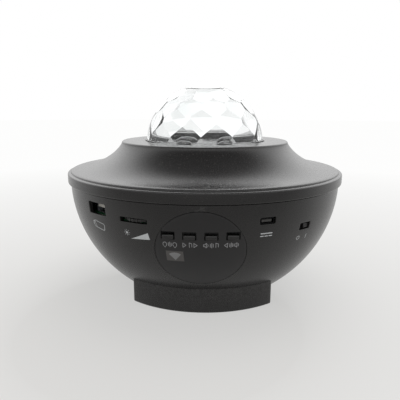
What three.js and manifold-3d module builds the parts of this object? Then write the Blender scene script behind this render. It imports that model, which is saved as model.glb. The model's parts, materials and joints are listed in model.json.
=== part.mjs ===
// A table-top disco light: a clear faceted dome turns over coloured lamps and a laser,
// in a saucer-shaped cover on a round bowl that holds the speaker, the board and the controls.
// Millimetres, +Z up. The origin is on the table under the dome's axis, and the buttons face -Y.
// An azimuth is an angle about Z from the buttons' side, growing towards +X.
import * as THREE from "three";
import { mergeVertices } from "three/addons/utils/BufferGeometryUtils.js";
import Module from "manifold-3d";

const wasm = await Module();
wasm.setup();

const degrees = Math.PI / 180;

// Clearances
const gap = 0.3; // between pieces seated or fastened together
const looseGap = 0.5; // round pieces that turn in each other
const overrun = 2; // how far a cut runs past the faces it opens

// Smoothness, as numbers of sides and steps
const bodySides = 40;
const ringSides = 24;
const smallSides = 8;
const wallSteps = 6;
const brimSteps = 6;
const sectorSteps = 6;
const domeSteps = 12;
const edgeSteps = 3;

// Dome: smooth outside, flat facets round the hollow inside, and a flange under the cover's lip
const domeRadius = 35.7;
const domeDrop = 2.4; // from the cover's top down to the sphere's centre
const domeWall = 2.4;
const domeCapWall = 4; // over the hollow's flat ceiling
const facetCount = 12;
const facetRowAngles = [-5, 8.5, 25.5, 41, 56];
const facetTurn = 12.8; // azimuth of one facet in the second row
const domeTopAngle = 84; // where the curve ends, short of the top
const domeRimHeight = 0.6; // the dome's round foot above the cover's lip
const domeFlangeWidth = 3;
const domeFlangeThickness = 2;

// Cover
const rimOverhang = 1.6; // past the bowl
const rimChamfer = 1.2;
const rimBandHeight = 5.2;
const rimEdgeHeight = 1.5; // the rounded edge on the band
const rimFillet = 1.4;
const rimSweep = 80; // angle that the rim's top edge turns through
const neckRise = 16.2; // from the brim's edge up to the neck's top
const neckWidth = 14.1; // from the dome's hole out to the neck's edge
const neckFillet = 1;
const neckEdgeAngle = 30; // where the neck's edge starts, above the horizontal
const brimCurveShares = [[0.7, 0.055], [0.987, 0.887]];
const coverWall = 2;
const skirtWall = 2.5;
const domeHoleMargin = 0.8; // round the dome
const retainerDepth = 1.8;
const retainerWall = 2.6;

// Bowl: an ellipse in section, with a flat floor
const bowlRadius = 80.9;
const bowlHeight = 57.1;
const bowlRise = 1.1; // from the parting line up to the ellipse's centre
const bowlWall = 2;
const floorMargin = 1.69; // the bowl's floor past the plate
const lipHeight = 3; // the bowl's lip inside the cover
const lipWall = 1.3;

// Bottom cover and feet
const plateHeight = 4.5;
const plateThickness = 1.5;
const plateMargin = 5; // outside the long screws
const footStep = 7.61; // how far the feet stand out past the bowl's floor
const footOverlap = 2.5; // over the plate
const footHalfAngle = 39;
const footWall = 2;
const footFloorHeight = 0.5;
const footFloorThickness = 2.9;
const padThickness = 1.4;
const padWidth = 6;
const padHalfAngle = 7;
const padAzimuth = 28;
const grilleRows = [{ count: 6, radius: 5.5, length: 5 }, { count: 14, radius: 15, length: 9 }];
const grilleSlotWidth = 2.2;

// Long screws that hold the cover on the bowl
const coverPostAzimuths = [60, 180, 300];
const coverPostMargin = 1.4; // outside the chassis
const coverPostSize = 3.6;
const bowlPostSize = 4.4;
const bowlPostDrop = 23.4; // from the parting line down to the posts' joint
const shoulderThickness = 2.6;

// Screws: head radius and thickness, shank radius and length
const coverScrew = { head: 2.4, headThickness: 2.2, shank: 1.2, length: 12 };
const baseScrew = { head: 2.6, headThickness: 1.2, shank: 1.2, length: 7 };
const boardScrew = { head: 2.6, headThickness: 1.6, shank: 1.1, length: 7 };
const chassisScrew = { head: 2.6, headThickness: 1.8, shank: 1.2, length: 8 };
const motorScrew = { head: 1.4, headThickness: 1, shank: 0.7, length: 4 };
const screwHoleGap = 0.25;
const crossWidth = 0.8;
const crossDepth = 0.6;

const baseScrewAzimuths = [45, 135, 225, 315];
const baseScrewInset = 13; // from the plate's edge
const baseBossSize = 3;
const baseBossRise = 4.7; // above the bowl's floor

// Chassis: the plate that carries the drive, the lamps and the laser
const chassisRise = 0.6; // above the parting line
const chassisThickness = 2;
const chassisMargin = 5; // outside the ring gear
const armAzimuths = [0, 120, 240];
const armMargin = 1.7; // from the pinion to the bosses over the arms
const armWidth = 14;
const collarGap = 0.6; // inside the dome's bore
const collarWall = 3.2;
const collarRise = 10.5;
const ledgeDepth = 1.9;
const ledgeWidth = 3;
const thrustWidth = 3;
const thrustHeight = 1.4;
const hubWall = 2.2;
const hubDepth = 6;

// Drive: ring gear under the dome and the motor's pinion
const ringTeeth = 48;
const pinionTeeth = 10;
const toothRoom = 1.6; // from the carrier's tube out to the ring's pitch circle
const pressureAngle = 24 * degrees;
const backlash = 0.3;
const addendumShare = 0.8;
const dedendumShare = 1.1;
const fineTeeth = 20; // gears with fewer teeth get a curved flank
const gearThickness = 4.3;
const carrierWall = 1.2;
const carrierFlangeThickness = 2;
const pegCount = 3;
const pegRadius = 1;
const pegInset = 2; // from the dome flange's edge
const pegLength = 1.6;
const driveAzimuth = 120;
const pinionThickness = 3.7;
const shaftRadius = 1.5;
const shaftLength = 8;
const shaftSeatDepth = 4;
const motorWidth = 12;
const motorDepth = 10;
const gearboxHeight = 9;
const motorLength = 24;
const motorCapRadius = 2;
const motorCapLength = 1.5;
const motorScrewSpacing = 9;

// Deck and lamps inside the dome
const deckGap = 0.9; // inside the dome's bore
const deckThickness = 2;
const deckSkirt = 7.7; // the deck's height over the collar
const deckWall = 3.9;
const ledBoardThickness = 1.6;
const lampAzimuths = [45, 135, 225, 315];
const lampOffset = 1; // how much nearer the lamps are to the laser than to the deck's wall
const ledSize = 5;
const ledThickness = 1.4;
const lensRadius = 4.5;
const lensFootRadius = 3;
const lensFlangeWidth = 1.1;
const lensFlangeThickness = 1.3;
const lensRise = 2.3;
const laserRadius = 6.5;
const laserLength = 32;
const laserFlangeWidth = 1.7;
const laserFlangeThickness = 1.5;
const laserWindowRadius = 3;
const laserWindowThickness = 1.7;
const laserBoreDepth = 2;

// Main board, level, behind the controls
const boardDrop = 12.6; // below the parting line
const boardThickness = 1.6;
const boardMargin = 0.65; // to the bowl's wall
const boardRearMargin = 1.4; // to the long posts
const boardBossSize = 3.5;
const boardBossAzimuth = 60;
const boardBossInset = 7.5; // from the board's edge
const boardBossDepth = 27;
const boardPillarInset = 5; // from the board's rear edge
const boardPillarRise = 1.2;
const boardPinRadius = 1.5;
const chipSize = 9;
const chipThickness = 1.4;
const capacitorRadius = 3.2;
const capacitorHeight = 7;

// Control buttons: four in a straight row
const buttonCount = 4;
const buttonPitch = 10.3;
const buttonDrop = 3; // below the board
const buttonWidth = 5.7;
const buttonTall = 3.1;
const buttonSideGap = 0.5; // to the window's sides
const buttonTopGap = 0.55; // to the window's top and foot
const buttonRecess = 0.8;
const buttonFlangeMargin = 0.9;
const buttonFlangeThickness = 1;
const buttonTravel = 0.5;
const plungerRadius = 1.5;
const plungerSeatDepth = 2.4;
const keySwitchInset = 5.5; // from the bowl's wall
const keySwitchWidth = 6.2;
const keySwitchDepth = 3.5;
const keySwitchTall = 5.5;

// The other controls are placed by their distance round the bowl from the buttons' middle.
// Memory-stick socket
const usbReach = -58.2;
const usbWindowRise = 0.4; // of the window above the socket
const usbSetback = 5;
const usbWidth = 13.6;
const usbTall = 6.2;
const usbLength = 14;
const usbShell = 0.5;
const usbTongueWidth = 11.2;
const usbTongueThickness = 1.8;
const usbTongueSetback = 1.6;
const usbTongueRise = 0.7;

// Power inlet
const inletReach = 33;
const inletWindowRise = 0.2;
const inletWindowMargin = 0.35;
const inletSetback = 3.2;
const inletWidth = 7.7;
const inletTall = 2.8;
const inletLength = 5.6;
const inletShell = 0.4;
const inletTongueWidth = 3.7;
const inletTongueThickness = 0.6;
const inletTongueSetback = 0.8;

// Power switch
const switchReach = 58;
const knobRise = 0.3; // of the knob above the body's middle
const switchSideGap = 0.95; // to the window's sides
const switchTopGap = 0.65; // to the window's top and foot
const switchBodyMargin = 1.85;
const switchBodyTall = 5;
const switchBodyDepth = 4.2;
const switchTravel = 2.5;
const knobWidth = 3.2;
const knobTall = 2.4;
const knobRecess = 0.7;
const knobFootMargin = 0.35;
const knobFootThickness = 1;
const switchLipThickness = 0.8;

// Brightness wheel
const dimmerReach = -33.75;
const dimmerWindowWidth = 15.2;
const wheelSlotGap = 0.4; // to the window's top and foot
const wheelRise = 0.3; // above the board
const wheelRadius = 9.5;
const wheelThickness = 1.7;
const wheelRecess = 0.3;
const wheelRidges = 28;
const ridgeDepth = 0.35;
const wheelShaftRadius = 1.5;
const dimmerBodySize = 11;
const dimmerBodyTall = 2.6;
const wheelShaftSeat = 2;

// Remote-control receiver behind the label
const receiverReach = -13.3;
const receiverDrop = 14.3; // below the board
const receiverInset = 2.65; // from the bowl's wall
const receiverWidth = 5.2;
const receiverDepth = 4;
const receiverTall = 6.5;
const receiverLensRadius = 2.2;
const legWidth = 0.6;
const legPitch = 1.8;

// Round label, in a shallow seat
const labelRadius = 22;
const labelDrop = 8.9; // below the buttons
const labelThickness = 0.3;
const labelDepth = 10;

// Speaker, facing down over the grille
const speakerRadius = 26;
const speakerSeatWidth = 2.5; // on the bowl's floor
const speakerFlangeThickness = 1.2;
const basketTopRadius = 15;
const basketHeight = 13;
const basketWall = 1;
const basketWindows = 4;
const basketWindowWidth = 14;
const magnetRadius = 15.5;
const magnetHeight = 8;
const coneInset = 4.4; // of the cone inside the speaker's flange
const coneThroatRadius = 8;
const coneDepth = 8;
const surroundWidth = 3.4;
const surroundRise = 1.4;
const coneThickness = 0.5;

// Heights worked out from the sizes above, from the plate up
const floorHeight = plateHeight + plateThickness + gap;
const bowlFloorTop = floorHeight + bowlWall;
const partingHeight = floorHeight + bowlHeight;
const bowlTop = partingHeight - gap;
const bowlCentreHeight = partingHeight + bowlRise;
const bandTop = partingHeight + rimBandHeight;
const brimHeight = bandTop + rimEdgeHeight;
const neckHeight = brimHeight + neckRise;
const domeCentreHeight = neckHeight - domeDrop;
const domeFlangeHeight = neckHeight - coverWall - retainerDepth - looseGap - domeFlangeThickness;
const chassisHeight = partingHeight + chassisRise;
const chassisTop = chassisHeight + chassisThickness;
const carrierBottom = chassisTop + thrustHeight + gap;
const collarHeight = chassisTop + collarRise;
const ledgeHeight = collarHeight - ledgeDepth;
const ledBoardHeight = ledgeHeight + gap;
const ledBoardTop = ledBoardHeight + ledBoardThickness;
const deckHeight = collarHeight + gap + deckSkirt;
const deckBottom = deckHeight - deckThickness;
const laserTop = deckBottom - gap;
const motorTop = chassisHeight - gap;
const bowlPostHeight = partingHeight - bowlPostDrop;
const postFloor = bowlPostHeight - shoulderThickness;
const baseBossHeight = bowlFloorTop + baseBossRise;
const boardHeight = partingHeight - boardDrop;
const boardTop = boardHeight + boardThickness;
const buttonHeight = boardHeight - buttonDrop;
const usbHeight = boardTop + gap + usbTall / 2;
const inletHeight = boardTop + gap + inletTall / 2;
const switchBodyTop = boardHeight - gap;
const switchHeight = switchBodyTop - switchBodyTall / 2 + knobRise;
const dimmerHeight = boardTop + wheelRise + wheelThickness / 2;
const receiverHeight = boardHeight - receiverDrop;
const labelHeight = buttonHeight - labelDrop;
const speakerBottom = bowlFloorTop + gap;

// Radii worked out from the dome outwards
const domeBore = domeRadius - domeWall;
const domeHoleRadius = domeRadius + domeHoleMargin;
const domeFlangeRadius = domeHoleRadius + domeFlangeWidth;
const neckRadius = domeHoleRadius + neckWidth;
const pegSeatRadius = domeFlangeRadius - pegInset;
const deckRadius = domeBore - deckGap;
const lampRadius = (laserRadius + deckRadius - deckWall - lampOffset) / 2;
const lensFlangeRadius = lensRadius + lensFlangeWidth;
const collarRadius = domeBore - collarGap;
const carrierBore = collarRadius + looseGap;
const carrierTubeRadius = carrierBore + carrierWall;
const ringPitchRadius = carrierTubeRadius + toothRoom;
const gearModule = 2 * ringPitchRadius / ringTeeth;
const pinionPitchRadius = gearModule * pinionTeeth / 2;
const driveRadius = ringPitchRadius + pinionPitchRadius;
const pinionReach = driveRadius + pinionPitchRadius + gearModule * addendumShare;
const armRadius = pinionReach + armMargin + coverPostSize;
const chassisRadius = ringPitchRadius + chassisMargin;
const coverPostRadius = chassisRadius + coverPostMargin + coverPostSize;
const plateRadius = coverPostRadius + plateMargin;
const baseScrewRadius = plateRadius - baseScrewInset;
const footInnerRadius = plateRadius - footOverlap;
const floorRadius = plateRadius + floorMargin;
const footRadius = floorRadius + footStep;
const rimRadius = bowlRadius + rimOverhang;
const lipRadius = rimRadius - skirtWall - gap;
const speakerOpeningRadius = speakerRadius - speakerSeatWidth;
const coneRadius = speakerRadius - coneInset;

// The ellipse is as deep as it takes to meet the floor's edge
const bowlDepth = (bowlCentreHeight - floorHeight) / Math.sqrt(1 - (floorRadius / bowlRadius) ** 2);

// The bowl's radius at a height, set in by a wall
function bowlRadiusAt(height, inset = 0) {
  const share = (bowlCentreHeight - height) / (bowlDepth - inset);
  return (bowlRadius - inset) * Math.sqrt(1 - share * share);
}

function azimuthAt(reach) {
  return reach / bowlRadius / degrees;
}

const usbAzimuth = azimuthAt(usbReach);
const inletAzimuth = azimuthAt(inletReach);
const switchAzimuth = azimuthAt(switchReach);
const dimmerAzimuth = azimuthAt(dimmerReach);
const receiverAzimuth = azimuthAt(receiverReach);
const wheelCentreRadius = bowlRadiusAt(dimmerHeight) - wheelRecess - wheelRadius;
const keySwitchFace = bowlRadiusAt(buttonHeight, bowlWall) - keySwitchInset;
const receiverFace = bowlRadiusAt(receiverHeight, bowlWall) - receiverInset;
const boardRadius = bowlRadiusAt(boardHeight, bowlWall) - boardMargin;
const boardRear = -polar(coverPostRadius, coverPostAzimuths[0])[1] + coverPostSize + boardRearMargin;
const boardPillarY = boardRear + boardPillarInset;
const [boardBossX, boardBossY] = polar(boardRadius - boardBossInset, boardBossAzimuth);
const buttonWindowWidth = buttonWidth + 2 * buttonSideGap;
const buttonWindowTall = buttonTall + 2 * buttonTopGap;
const switchBodyWidth = knobWidth + switchTravel + 2 * switchBodyMargin;

// Looks
const blackPlastic = { color: "#1c1b1b", roughness: 0.42, metalness: 0 };
const labelFilm = { color: "#131213", roughness: 0.5, metalness: 0 };
const clearPlastic = { color: "#f4f6f7", roughness: 0.04, metalness: 0, transparent: true, opacity: 0.35 };
const rubber = { color: "#161616", roughness: 0.85, metalness: 0 };
const whitePlastic = { color: "#e6e5e0", roughness: 0.45, metalness: 0 };
const boardGreen = { color: "#1d5a36", roughness: 0.5, metalness: 0 };
const boardWhite = { color: "#e9ebe8", roughness: 0.4, metalness: 0 };
const steel = { color: "#b4b6b8", roughness: 0.3, metalness: 1 };
const brass = { color: "#b58e45", roughness: 0.3, metalness: 1 };
const darkSteel = { color: "#3c3c3e", roughness: 0.4, metalness: 1 };
const ferrite = { color: "#2a2a2c", roughness: 0.6, metalness: 0.2 };
const paper = { color: "#232324", roughness: 0.9, metalness: 0 };
const lampColours = ["#c62f2a", "#2f9e44", "#2b5fc4", "#efe9d2"];

// From shapes to solids and back
function solid(geometry) {
  const bare = new THREE.BufferGeometry();
  bare.setAttribute("position", geometry.getAttribute("position"));
  bare.setIndex(geometry.getIndex());
  const merged = mergeVertices(bare);
  const corners = merged.getIndex().array;
  const faces = [];
  for (let i = 0; i < corners.length; i += 3) {
    const [a, b, c] = [corners[i], corners[i + 1], corners[i + 2]];
    if (a !== b && b !== c && c !== a) faces.push(a, b, c);
  }
  const vertProperties = new Float32Array(merged.getAttribute("position").array);
  return new wasm.Manifold(new wasm.Mesh({ numProp: 3, vertProperties, triVerts: new Uint32Array(faces) }));
}

function asSolid(shape) {
  return shape.isBufferGeometry ? solid(shape) : shape;
}

function join(first, ...others) {
  return others.reduce((whole, part) => whole.add(asSolid(part)), asSolid(first));
}

function cut(first, ...tools) {
  return tools.reduce((whole, tool) => whole.subtract(asSolid(tool)), asSolid(first));
}

function common(first, second) {
  return asSolid(first).intersect(asSolid(second));
}

function shapeOf(body) {
  const mesh = body.getMesh();
  const geometry = new THREE.BufferGeometry();
  geometry.setAttribute("position", new THREE.BufferAttribute(mesh.vertProperties, 3));
  geometry.setIndex(new THREE.BufferAttribute(mesh.triVerts, 1));
  return geometry;
}

// Adds a named piece to a group
function add(group, name, shape, look, x = 0, y = 0, z = 0) {
  const geometry = shape.isBufferGeometry ? shape : shapeOf(shape);
  const mesh = new THREE.Mesh(geometry, new THREE.MeshStandardMaterial(look));
  mesh.name = name;
  mesh.position.set(x, y, z);
  group.add(mesh);
}

// A group turned so that its -Y side faces the azimuth
function turnedGroup(parent, azimuth) {
  const group = new THREE.Group();
  group.rotation.z = azimuth * degrees;
  parent.add(group);
  return group;
}

function polar(radius, azimuth) {
  return [radius * Math.sin(azimuth * degrees), -radius * Math.cos(azimuth * degrees)];
}

// Basic shapes: a box by its ranges, an upright cylinder or cone, and a turned profile
function block([x0, x1], [y0, y1], [z0, z1]) {
  return new THREE.BoxGeometry(x1 - x0, y1 - y0, z1 - z0)
    .translate((x0 + x1) / 2, (y0 + y1) / 2, (z0 + z1) / 2);
}

function wide(width, centre = 0) {
  return [centre - width / 2, centre + width / 2];
}

function post(radius, z0, z1, x = 0, y = 0, sides = smallSides, topRadius = radius) {
  return new THREE.CylinderGeometry(topRadius, radius, z1 - z0, sides)
    .rotateX(Math.PI / 2)
    .translate(x, y, (z0 + z1) / 2);
}

// Pins that point along -Y, from y0 out to y1
function spindle(radius, y0, y1, z, sides = smallSides) {
  return new THREE.CylinderGeometry(radius, radius, Math.abs(y1 - y0), sides)
    .translate(0, (y0 + y1) / 2, z);
}

function revolve(profile, sides = ringSides) {
  const points = profile.map(([r, z]) => new THREE.Vector2(r, z));
  if (THREE.ShapeUtils.isClockWise(points)) points.reverse();
  const onAxis = points.filter((point) => point.x === 0).length > 0;
  while (onAxis && !(points[0].x === 0 && points.at(-1).x === 0)) points.push(points.shift());
  if (!onAxis) points.push(points[0]);
  return new THREE.LatheGeometry(points, sides).rotateX(Math.PI / 2);
}

function tube(outer, inner, z0, z1, sides = ringSides) {
  return revolve([[inner, z0], [outer, z0], [outer, z1], [inner, z1]], sides);
}

// Points on an ellipse about (centreR, centreZ), between two angles above the horizontal
function arc(centreR, centreZ, radiusR, radiusZ, from, to, steps) {
  const points = [];
  for (let i = 0; i <= steps; i++) {
    const angle = from + (to - from) * i / steps;
    points.push([centreR + radiusR * Math.cos(angle), centreZ + radiusZ * Math.sin(angle)]);
  }
  return points;
}

// A wedge of the round parts: everything within a half angle of one azimuth
function sector(azimuth, halfAngle, reach, z0, z1) {
  const outline = new THREE.Shape([new THREE.Vector2(0, 0)]);
  for (let i = 0; i <= sectorSteps; i++) {
    outline.lineTo(...polar(reach, azimuth - halfAngle + 2 * halfAngle * i / sectorSteps));
  }
  return new THREE.ExtrudeGeometry(outline, { depth: z1 - z0, bevelEnabled: false }).translate(0, 0, z0);
}

// The bowl's section between two heights, set in by a wall
function bowlCurve(inset, z0, z1) {
  const angleAt = (z) => Math.asin((z - bowlCentreHeight) / (bowlDepth - inset));
  return arc(0, bowlCentreHeight, bowlRadius - inset, bowlDepth - inset, angleAt(z0), angleAt(z1), wallSteps);
}

// The solid inside the bowl's surface, set in by a wall or out by a clearance
function bowlForm(inset) {
  const z0 = floorHeight + inset;
  return revolve([[0, z0], ...bowlCurve(inset, z0, partingHeight), [0, partingHeight]], bodySides);
}

// Where the label lies: its centre on the bowl and how far its face looks down
const labelCentreRadius = bowlRadiusAt(labelHeight);
const labelTilt = Math.atan2(
  (bowlCentreHeight - labelHeight) / (bowlDepth * bowlDepth),
  labelCentreRadius / (bowlRadius * bowlRadius),
);

function labelCylinder(radius) {
  return new THREE.CylinderGeometry(radius, radius, 2 * labelDepth, ringSides)
    .rotateX(labelTilt)
    .translate(0, -labelCentreRadius, labelHeight);
}

function buttonX(index) {
  return (index - (buttonCount - 1) / 2) * buttonPitch;
}

function buttonWindow(index) {
  return block(
    wide(buttonWindowWidth, buttonX(index)),
    [-bowlRadius - overrun, -keySwitchFace],
    wide(buttonWindowTall, buttonHeight),
  );
}

function windowAt(azimuth, width, tall, height) {
  return block(wide(width), [-bowlRadius - overrun, -keySwitchFace], wide(tall, height))
    .rotateZ(azimuth * degrees);
}

// Bowl: the shell, its posts and bosses, and the windows for the controls
function bowl() {
  const profile = [
    [speakerOpeningRadius, floorHeight],
    ...bowlCurve(0, floorHeight, bowlTop),
    [lipRadius, bowlTop],
    [lipRadius, bowlTop + lipHeight],
    [lipRadius - lipWall, bowlTop + lipHeight],
    ...bowlCurve(bowlWall, bowlFloorTop, bowlTop).reverse(),
    [speakerOpeningRadius, bowlFloorTop],
  ];
  const inside = bowlForm(bowlWall / 2);
  const posts = coverPostAzimuths.map((azimuth) => {
    return post(bowlPostSize, floorHeight + bowlWall / 2, bowlPostHeight, ...polar(coverPostRadius, azimuth));
  });
  const baseBosses = baseScrewAzimuths.map((azimuth) => {
    return post(baseBossSize, floorHeight + bowlWall / 2, baseBossHeight, ...polar(baseScrewRadius, azimuth));
  });
  const boardBosses = [-1, 1].map((side) => {
    const z0 = boardHeight - boardBossDepth;
    return common(inside, post(boardBossSize, z0, boardHeight - gap, side * boardBossX, boardBossY));
  });
  const pillar = join(
    post(boardBossSize, floorHeight + bowlWall / 2, boardHeight - gap, 0, -boardPillarY),
    post(boardPinRadius, boardHeight - overrun, boardTop + boardPillarRise, 0, -boardPillarY),
  );
  const postHoles = coverPostAzimuths.flatMap((azimuth) => {
    const [x, y] = polar(coverPostRadius, azimuth);
    return [
      post(coverScrew.head + gap, floorHeight - overrun, postFloor, x, y),
      post(coverScrew.shank + screwHoleGap, postFloor - overrun, bowlPostHeight + overrun, x, y),
    ];
  });
  const baseHoles = baseScrewAzimuths.map((azimuth) => {
    const [x, y] = polar(baseScrewRadius, azimuth);
    return post(baseScrew.shank + screwHoleGap, floorHeight - overrun, baseBossHeight + overrun, x, y);
  });
  const boardHoles = [-1, 1].map((side) => {
    const z0 = boardTop - boardScrew.length - gap;
    return post(boardScrew.shank + screwHoleGap, z0, boardTop, side * boardBossX, boardBossY);
  });
  const inletWindowWidth = inletWidth + 2 * inletWindowMargin;
  const inletWindowTall = inletTall + 2 * inletWindowMargin;
  const switchWindowWidth = knobWidth + switchTravel + 2 * switchSideGap;
  const switchWindowTall = knobTall + 2 * switchTopGap;
  const windows = [
    windowAt(usbAzimuth, usbWidth, usbTall, usbHeight + usbWindowRise),
    windowAt(inletAzimuth, inletWindowWidth, inletWindowTall, inletHeight + inletWindowRise),
    windowAt(switchAzimuth, switchWindowWidth, switchWindowTall, switchHeight),
    windowAt(dimmerAzimuth, dimmerWindowWidth, wheelThickness + 2 * wheelSlotGap, dimmerHeight),
  ];
  for (let i = 0; i < buttonCount; i++) windows.push(buttonWindow(i));
  const receiverHole = spindle(receiverLensRadius + gap, -receiverFace, -bowlRadius, receiverHeight)
    .rotateZ(receiverAzimuth * degrees);
  const labelSeat = cut(labelCylinder(labelRadius + gap), bowlForm(labelThickness + gap));
  const shell = join(revolve(profile, bodySides), ...posts, ...baseBosses, ...boardBosses, pillar);
  return cut(shell, labelSeat, receiverHole, ...windows, ...postHoles, ...baseHoles, ...boardHoles);
}

// Round label with windows for the buttons
function label() {
  const film = common(labelCylinder(labelRadius), cut(bowlForm(0), bowlForm(labelThickness)));
  const windows = [];
  for (let i = 0; i < buttonCount; i++) windows.push(buttonWindow(i));
  return cut(film, ...windows);
}

// Cover: rim band, brim and neck in one sweep, with a lip round the dome
function coverCurve() {
  const run = rimRadius - rimFillet - neckRadius;
  const rise = neckHeight - neckFillet - brimHeight;
  const points = [[0, 0], ...brimCurveShares, [1, 1]].map(([across, up]) => {
    return new THREE.Vector2(rimRadius - rimFillet - run * across, brimHeight + rise * up);
  });
  return new THREE.CubicBezierCurve(...points).getPoints(brimSteps).map((point) => [point.x, point.y]);
}

// The same curve moved in by the wall, square to itself
function offsetInwards(points, distance) {
  return points.map(([r, z], i) => {
    const before = points[Math.max(i - 1, 0)];
    const after = points[Math.min(i + 1, points.length - 1)];
    const along = new THREE.Vector2(after[0] - before[0], after[1] - before[1]).normalize();
    return [r - along.y * distance, z + along.x * distance];
  });
}

function coverOutline() {
  const neckTop = neckHeight - neckFillet;
  const neckFrom = neckEdgeAngle * degrees;
  return [
    [rimRadius - rimChamfer, partingHeight],
    [rimRadius, partingHeight + rimChamfer],
    ...arc(rimRadius - rimFillet, bandTop, rimFillet, brimHeight - bandTop, 0, rimSweep * degrees, edgeSteps),
    ...coverCurve(),
    ...arc(neckRadius - neckFillet, neckTop, neckFillet, neckFillet, neckFrom, Math.PI / 2, edgeSteps - 1),
  ];
}

function topCover() {
  const underside = offsetInwards(coverCurve(), coverWall);
  const lipUnder = neckHeight - coverWall;
  const skirtInner = rimRadius - skirtWall;
  const first = underside.findIndex(([r]) => r < skirtInner - coverWall);
  const last = underside.findLastIndex(([, z]) => z < lipUnder - coverWall / 2);
  const profile = [
    [skirtInner, partingHeight],
    ...coverOutline(),
    [domeHoleRadius, neckHeight],
    [domeHoleRadius, lipUnder - retainerDepth],
    [domeHoleRadius + retainerWall, lipUnder - retainerDepth],
    [domeHoleRadius + retainerWall, lipUnder],
    [underside[last][0] - coverWall / 2, lipUnder],
    ...underside.slice(first, last + 1).reverse(),
    [skirtInner, underside[first][1] - coverWall / 4],
  ];
  const inside = revolve([[0, partingHeight], ...coverOutline(), [0, neckHeight - coverWall / 2]], bodySides);
  const posts = coverPostAzimuths.map((azimuth) => {
    return post(coverPostSize, bowlPostHeight + gap, neckHeight, ...polar(coverPostRadius, azimuth));
  });
  const bosses = armAzimuths.map((azimuth) => {
    return post(coverPostSize, chassisTop + gap, neckHeight, ...polar(armRadius, azimuth));
  });
  const postsBelow = posts.map((body) => common(body, join(inside, postSpace())));
  const bossesBelow = bosses.map((body) => common(body, inside));
  const postHoles = coverPostAzimuths.map((azimuth) => {
    const z1 = postFloor + coverScrew.length + gap;
    return post(coverScrew.shank + screwHoleGap, bowlPostHeight, z1, ...polar(coverPostRadius, azimuth));
  });
  const bossHoles = armAzimuths.map((azimuth) => {
    const z1 = chassisHeight + chassisScrew.length;
    return post(chassisScrew.shank + screwHoleGap, chassisTop, z1, ...polar(armRadius, azimuth));
  });
  const shell = join(revolve(profile, bodySides), ...postsBelow, ...bossesBelow);
  return cut(shell, ...postHoles, ...bossHoles);
}

// The room under the cover that its long posts pass through
function postSpace() {
  return post(bowlRadius - bowlWall, bowlPostHeight, partingHeight + rimChamfer, 0, 0, bodySides);
}

// Bottom cover: the plate under the bowl with its grille, and the two arched feet
function bottomCover() {
  const plateTop = plateHeight + plateThickness;
  const padSeatTop = padThickness + gap;
  const shapes = [tube(plateRadius, 0, plateHeight, plateTop)];
  const under = bowlForm(-gap);
  const hollowFloor = footFloorHeight + footFloorThickness;
  const solidRing = tube(footRadius, footInnerRadius, footFloorHeight, partingHeight / 2, bodySides);
  const hollowRadii = [footRadius - footWall, footInnerRadius + footWall];
  const ringInside = tube(...hollowRadii, hollowFloor, partingHeight, bodySides);
  const endAngle = footWall / footRadius / degrees;
  for (const azimuth of [0, 180]) {
    const outer = sector(azimuth, footHalfAngle, 2 * footRadius, footFloorHeight - overrun, partingHeight);
    const inner = sector(azimuth, footHalfAngle - endAngle, 2 * footRadius, hollowFloor, partingHeight);
    shapes.push(cut(common(solidRing, outer), under, common(ringInside, inner)));
  }
  const cuts = [];
  for (const { count, radius, length } of grilleRows) {
    for (let i = 0; i < count; i++) {
      const y = [-radius - length / 2, -radius + length / 2];
      const slot = block(wide(grilleSlotWidth), y, [plateHeight - overrun, plateTop + overrun]);
      cuts.push(slot.rotateZ(2 * Math.PI * i / count));
    }
  }
  for (const azimuth of baseScrewAzimuths) {
    const [x, y] = polar(baseScrewRadius, azimuth);
    const wideEnd = baseScrew.head + screwHoleGap;
    const narrowEnd = baseScrew.shank + screwHoleGap;
    const seat = plateHeight + baseScrew.headThickness + screwHoleGap;
    cuts.push(post(wideEnd, plateHeight, seat, x, y, smallSides, narrowEnd));
    cuts.push(post(narrowEnd, plateHeight - overrun, plateTop + overrun, x, y));
  }
  for (const azimuth of padAzimuths()) {
    cuts.push(padRing(azimuth, gap, footFloorHeight - overrun, padSeatTop));
  }
  return cut(join(...shapes), ...cuts);
}

function padAzimuths() {
  return [-padAzimuth, padAzimuth, 180 - padAzimuth, 180 + padAzimuth];
}

// An arched strip under a foot: a pad, or with a margin the seat that it sits in
function padRing(azimuth, margin, z0, z1) {
  const middle = (footRadius + footInnerRadius) / 2;
  const ring = tube(middle + padWidth / 2 + margin, middle - padWidth / 2 - margin, z0, z1, bodySides);
  const halfAngle = padHalfAngle + margin / middle / degrees;
  return common(ring, sector(azimuth, halfAngle, 2 * footRadius, z0 - overrun, z1 + overrun));
}

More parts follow.
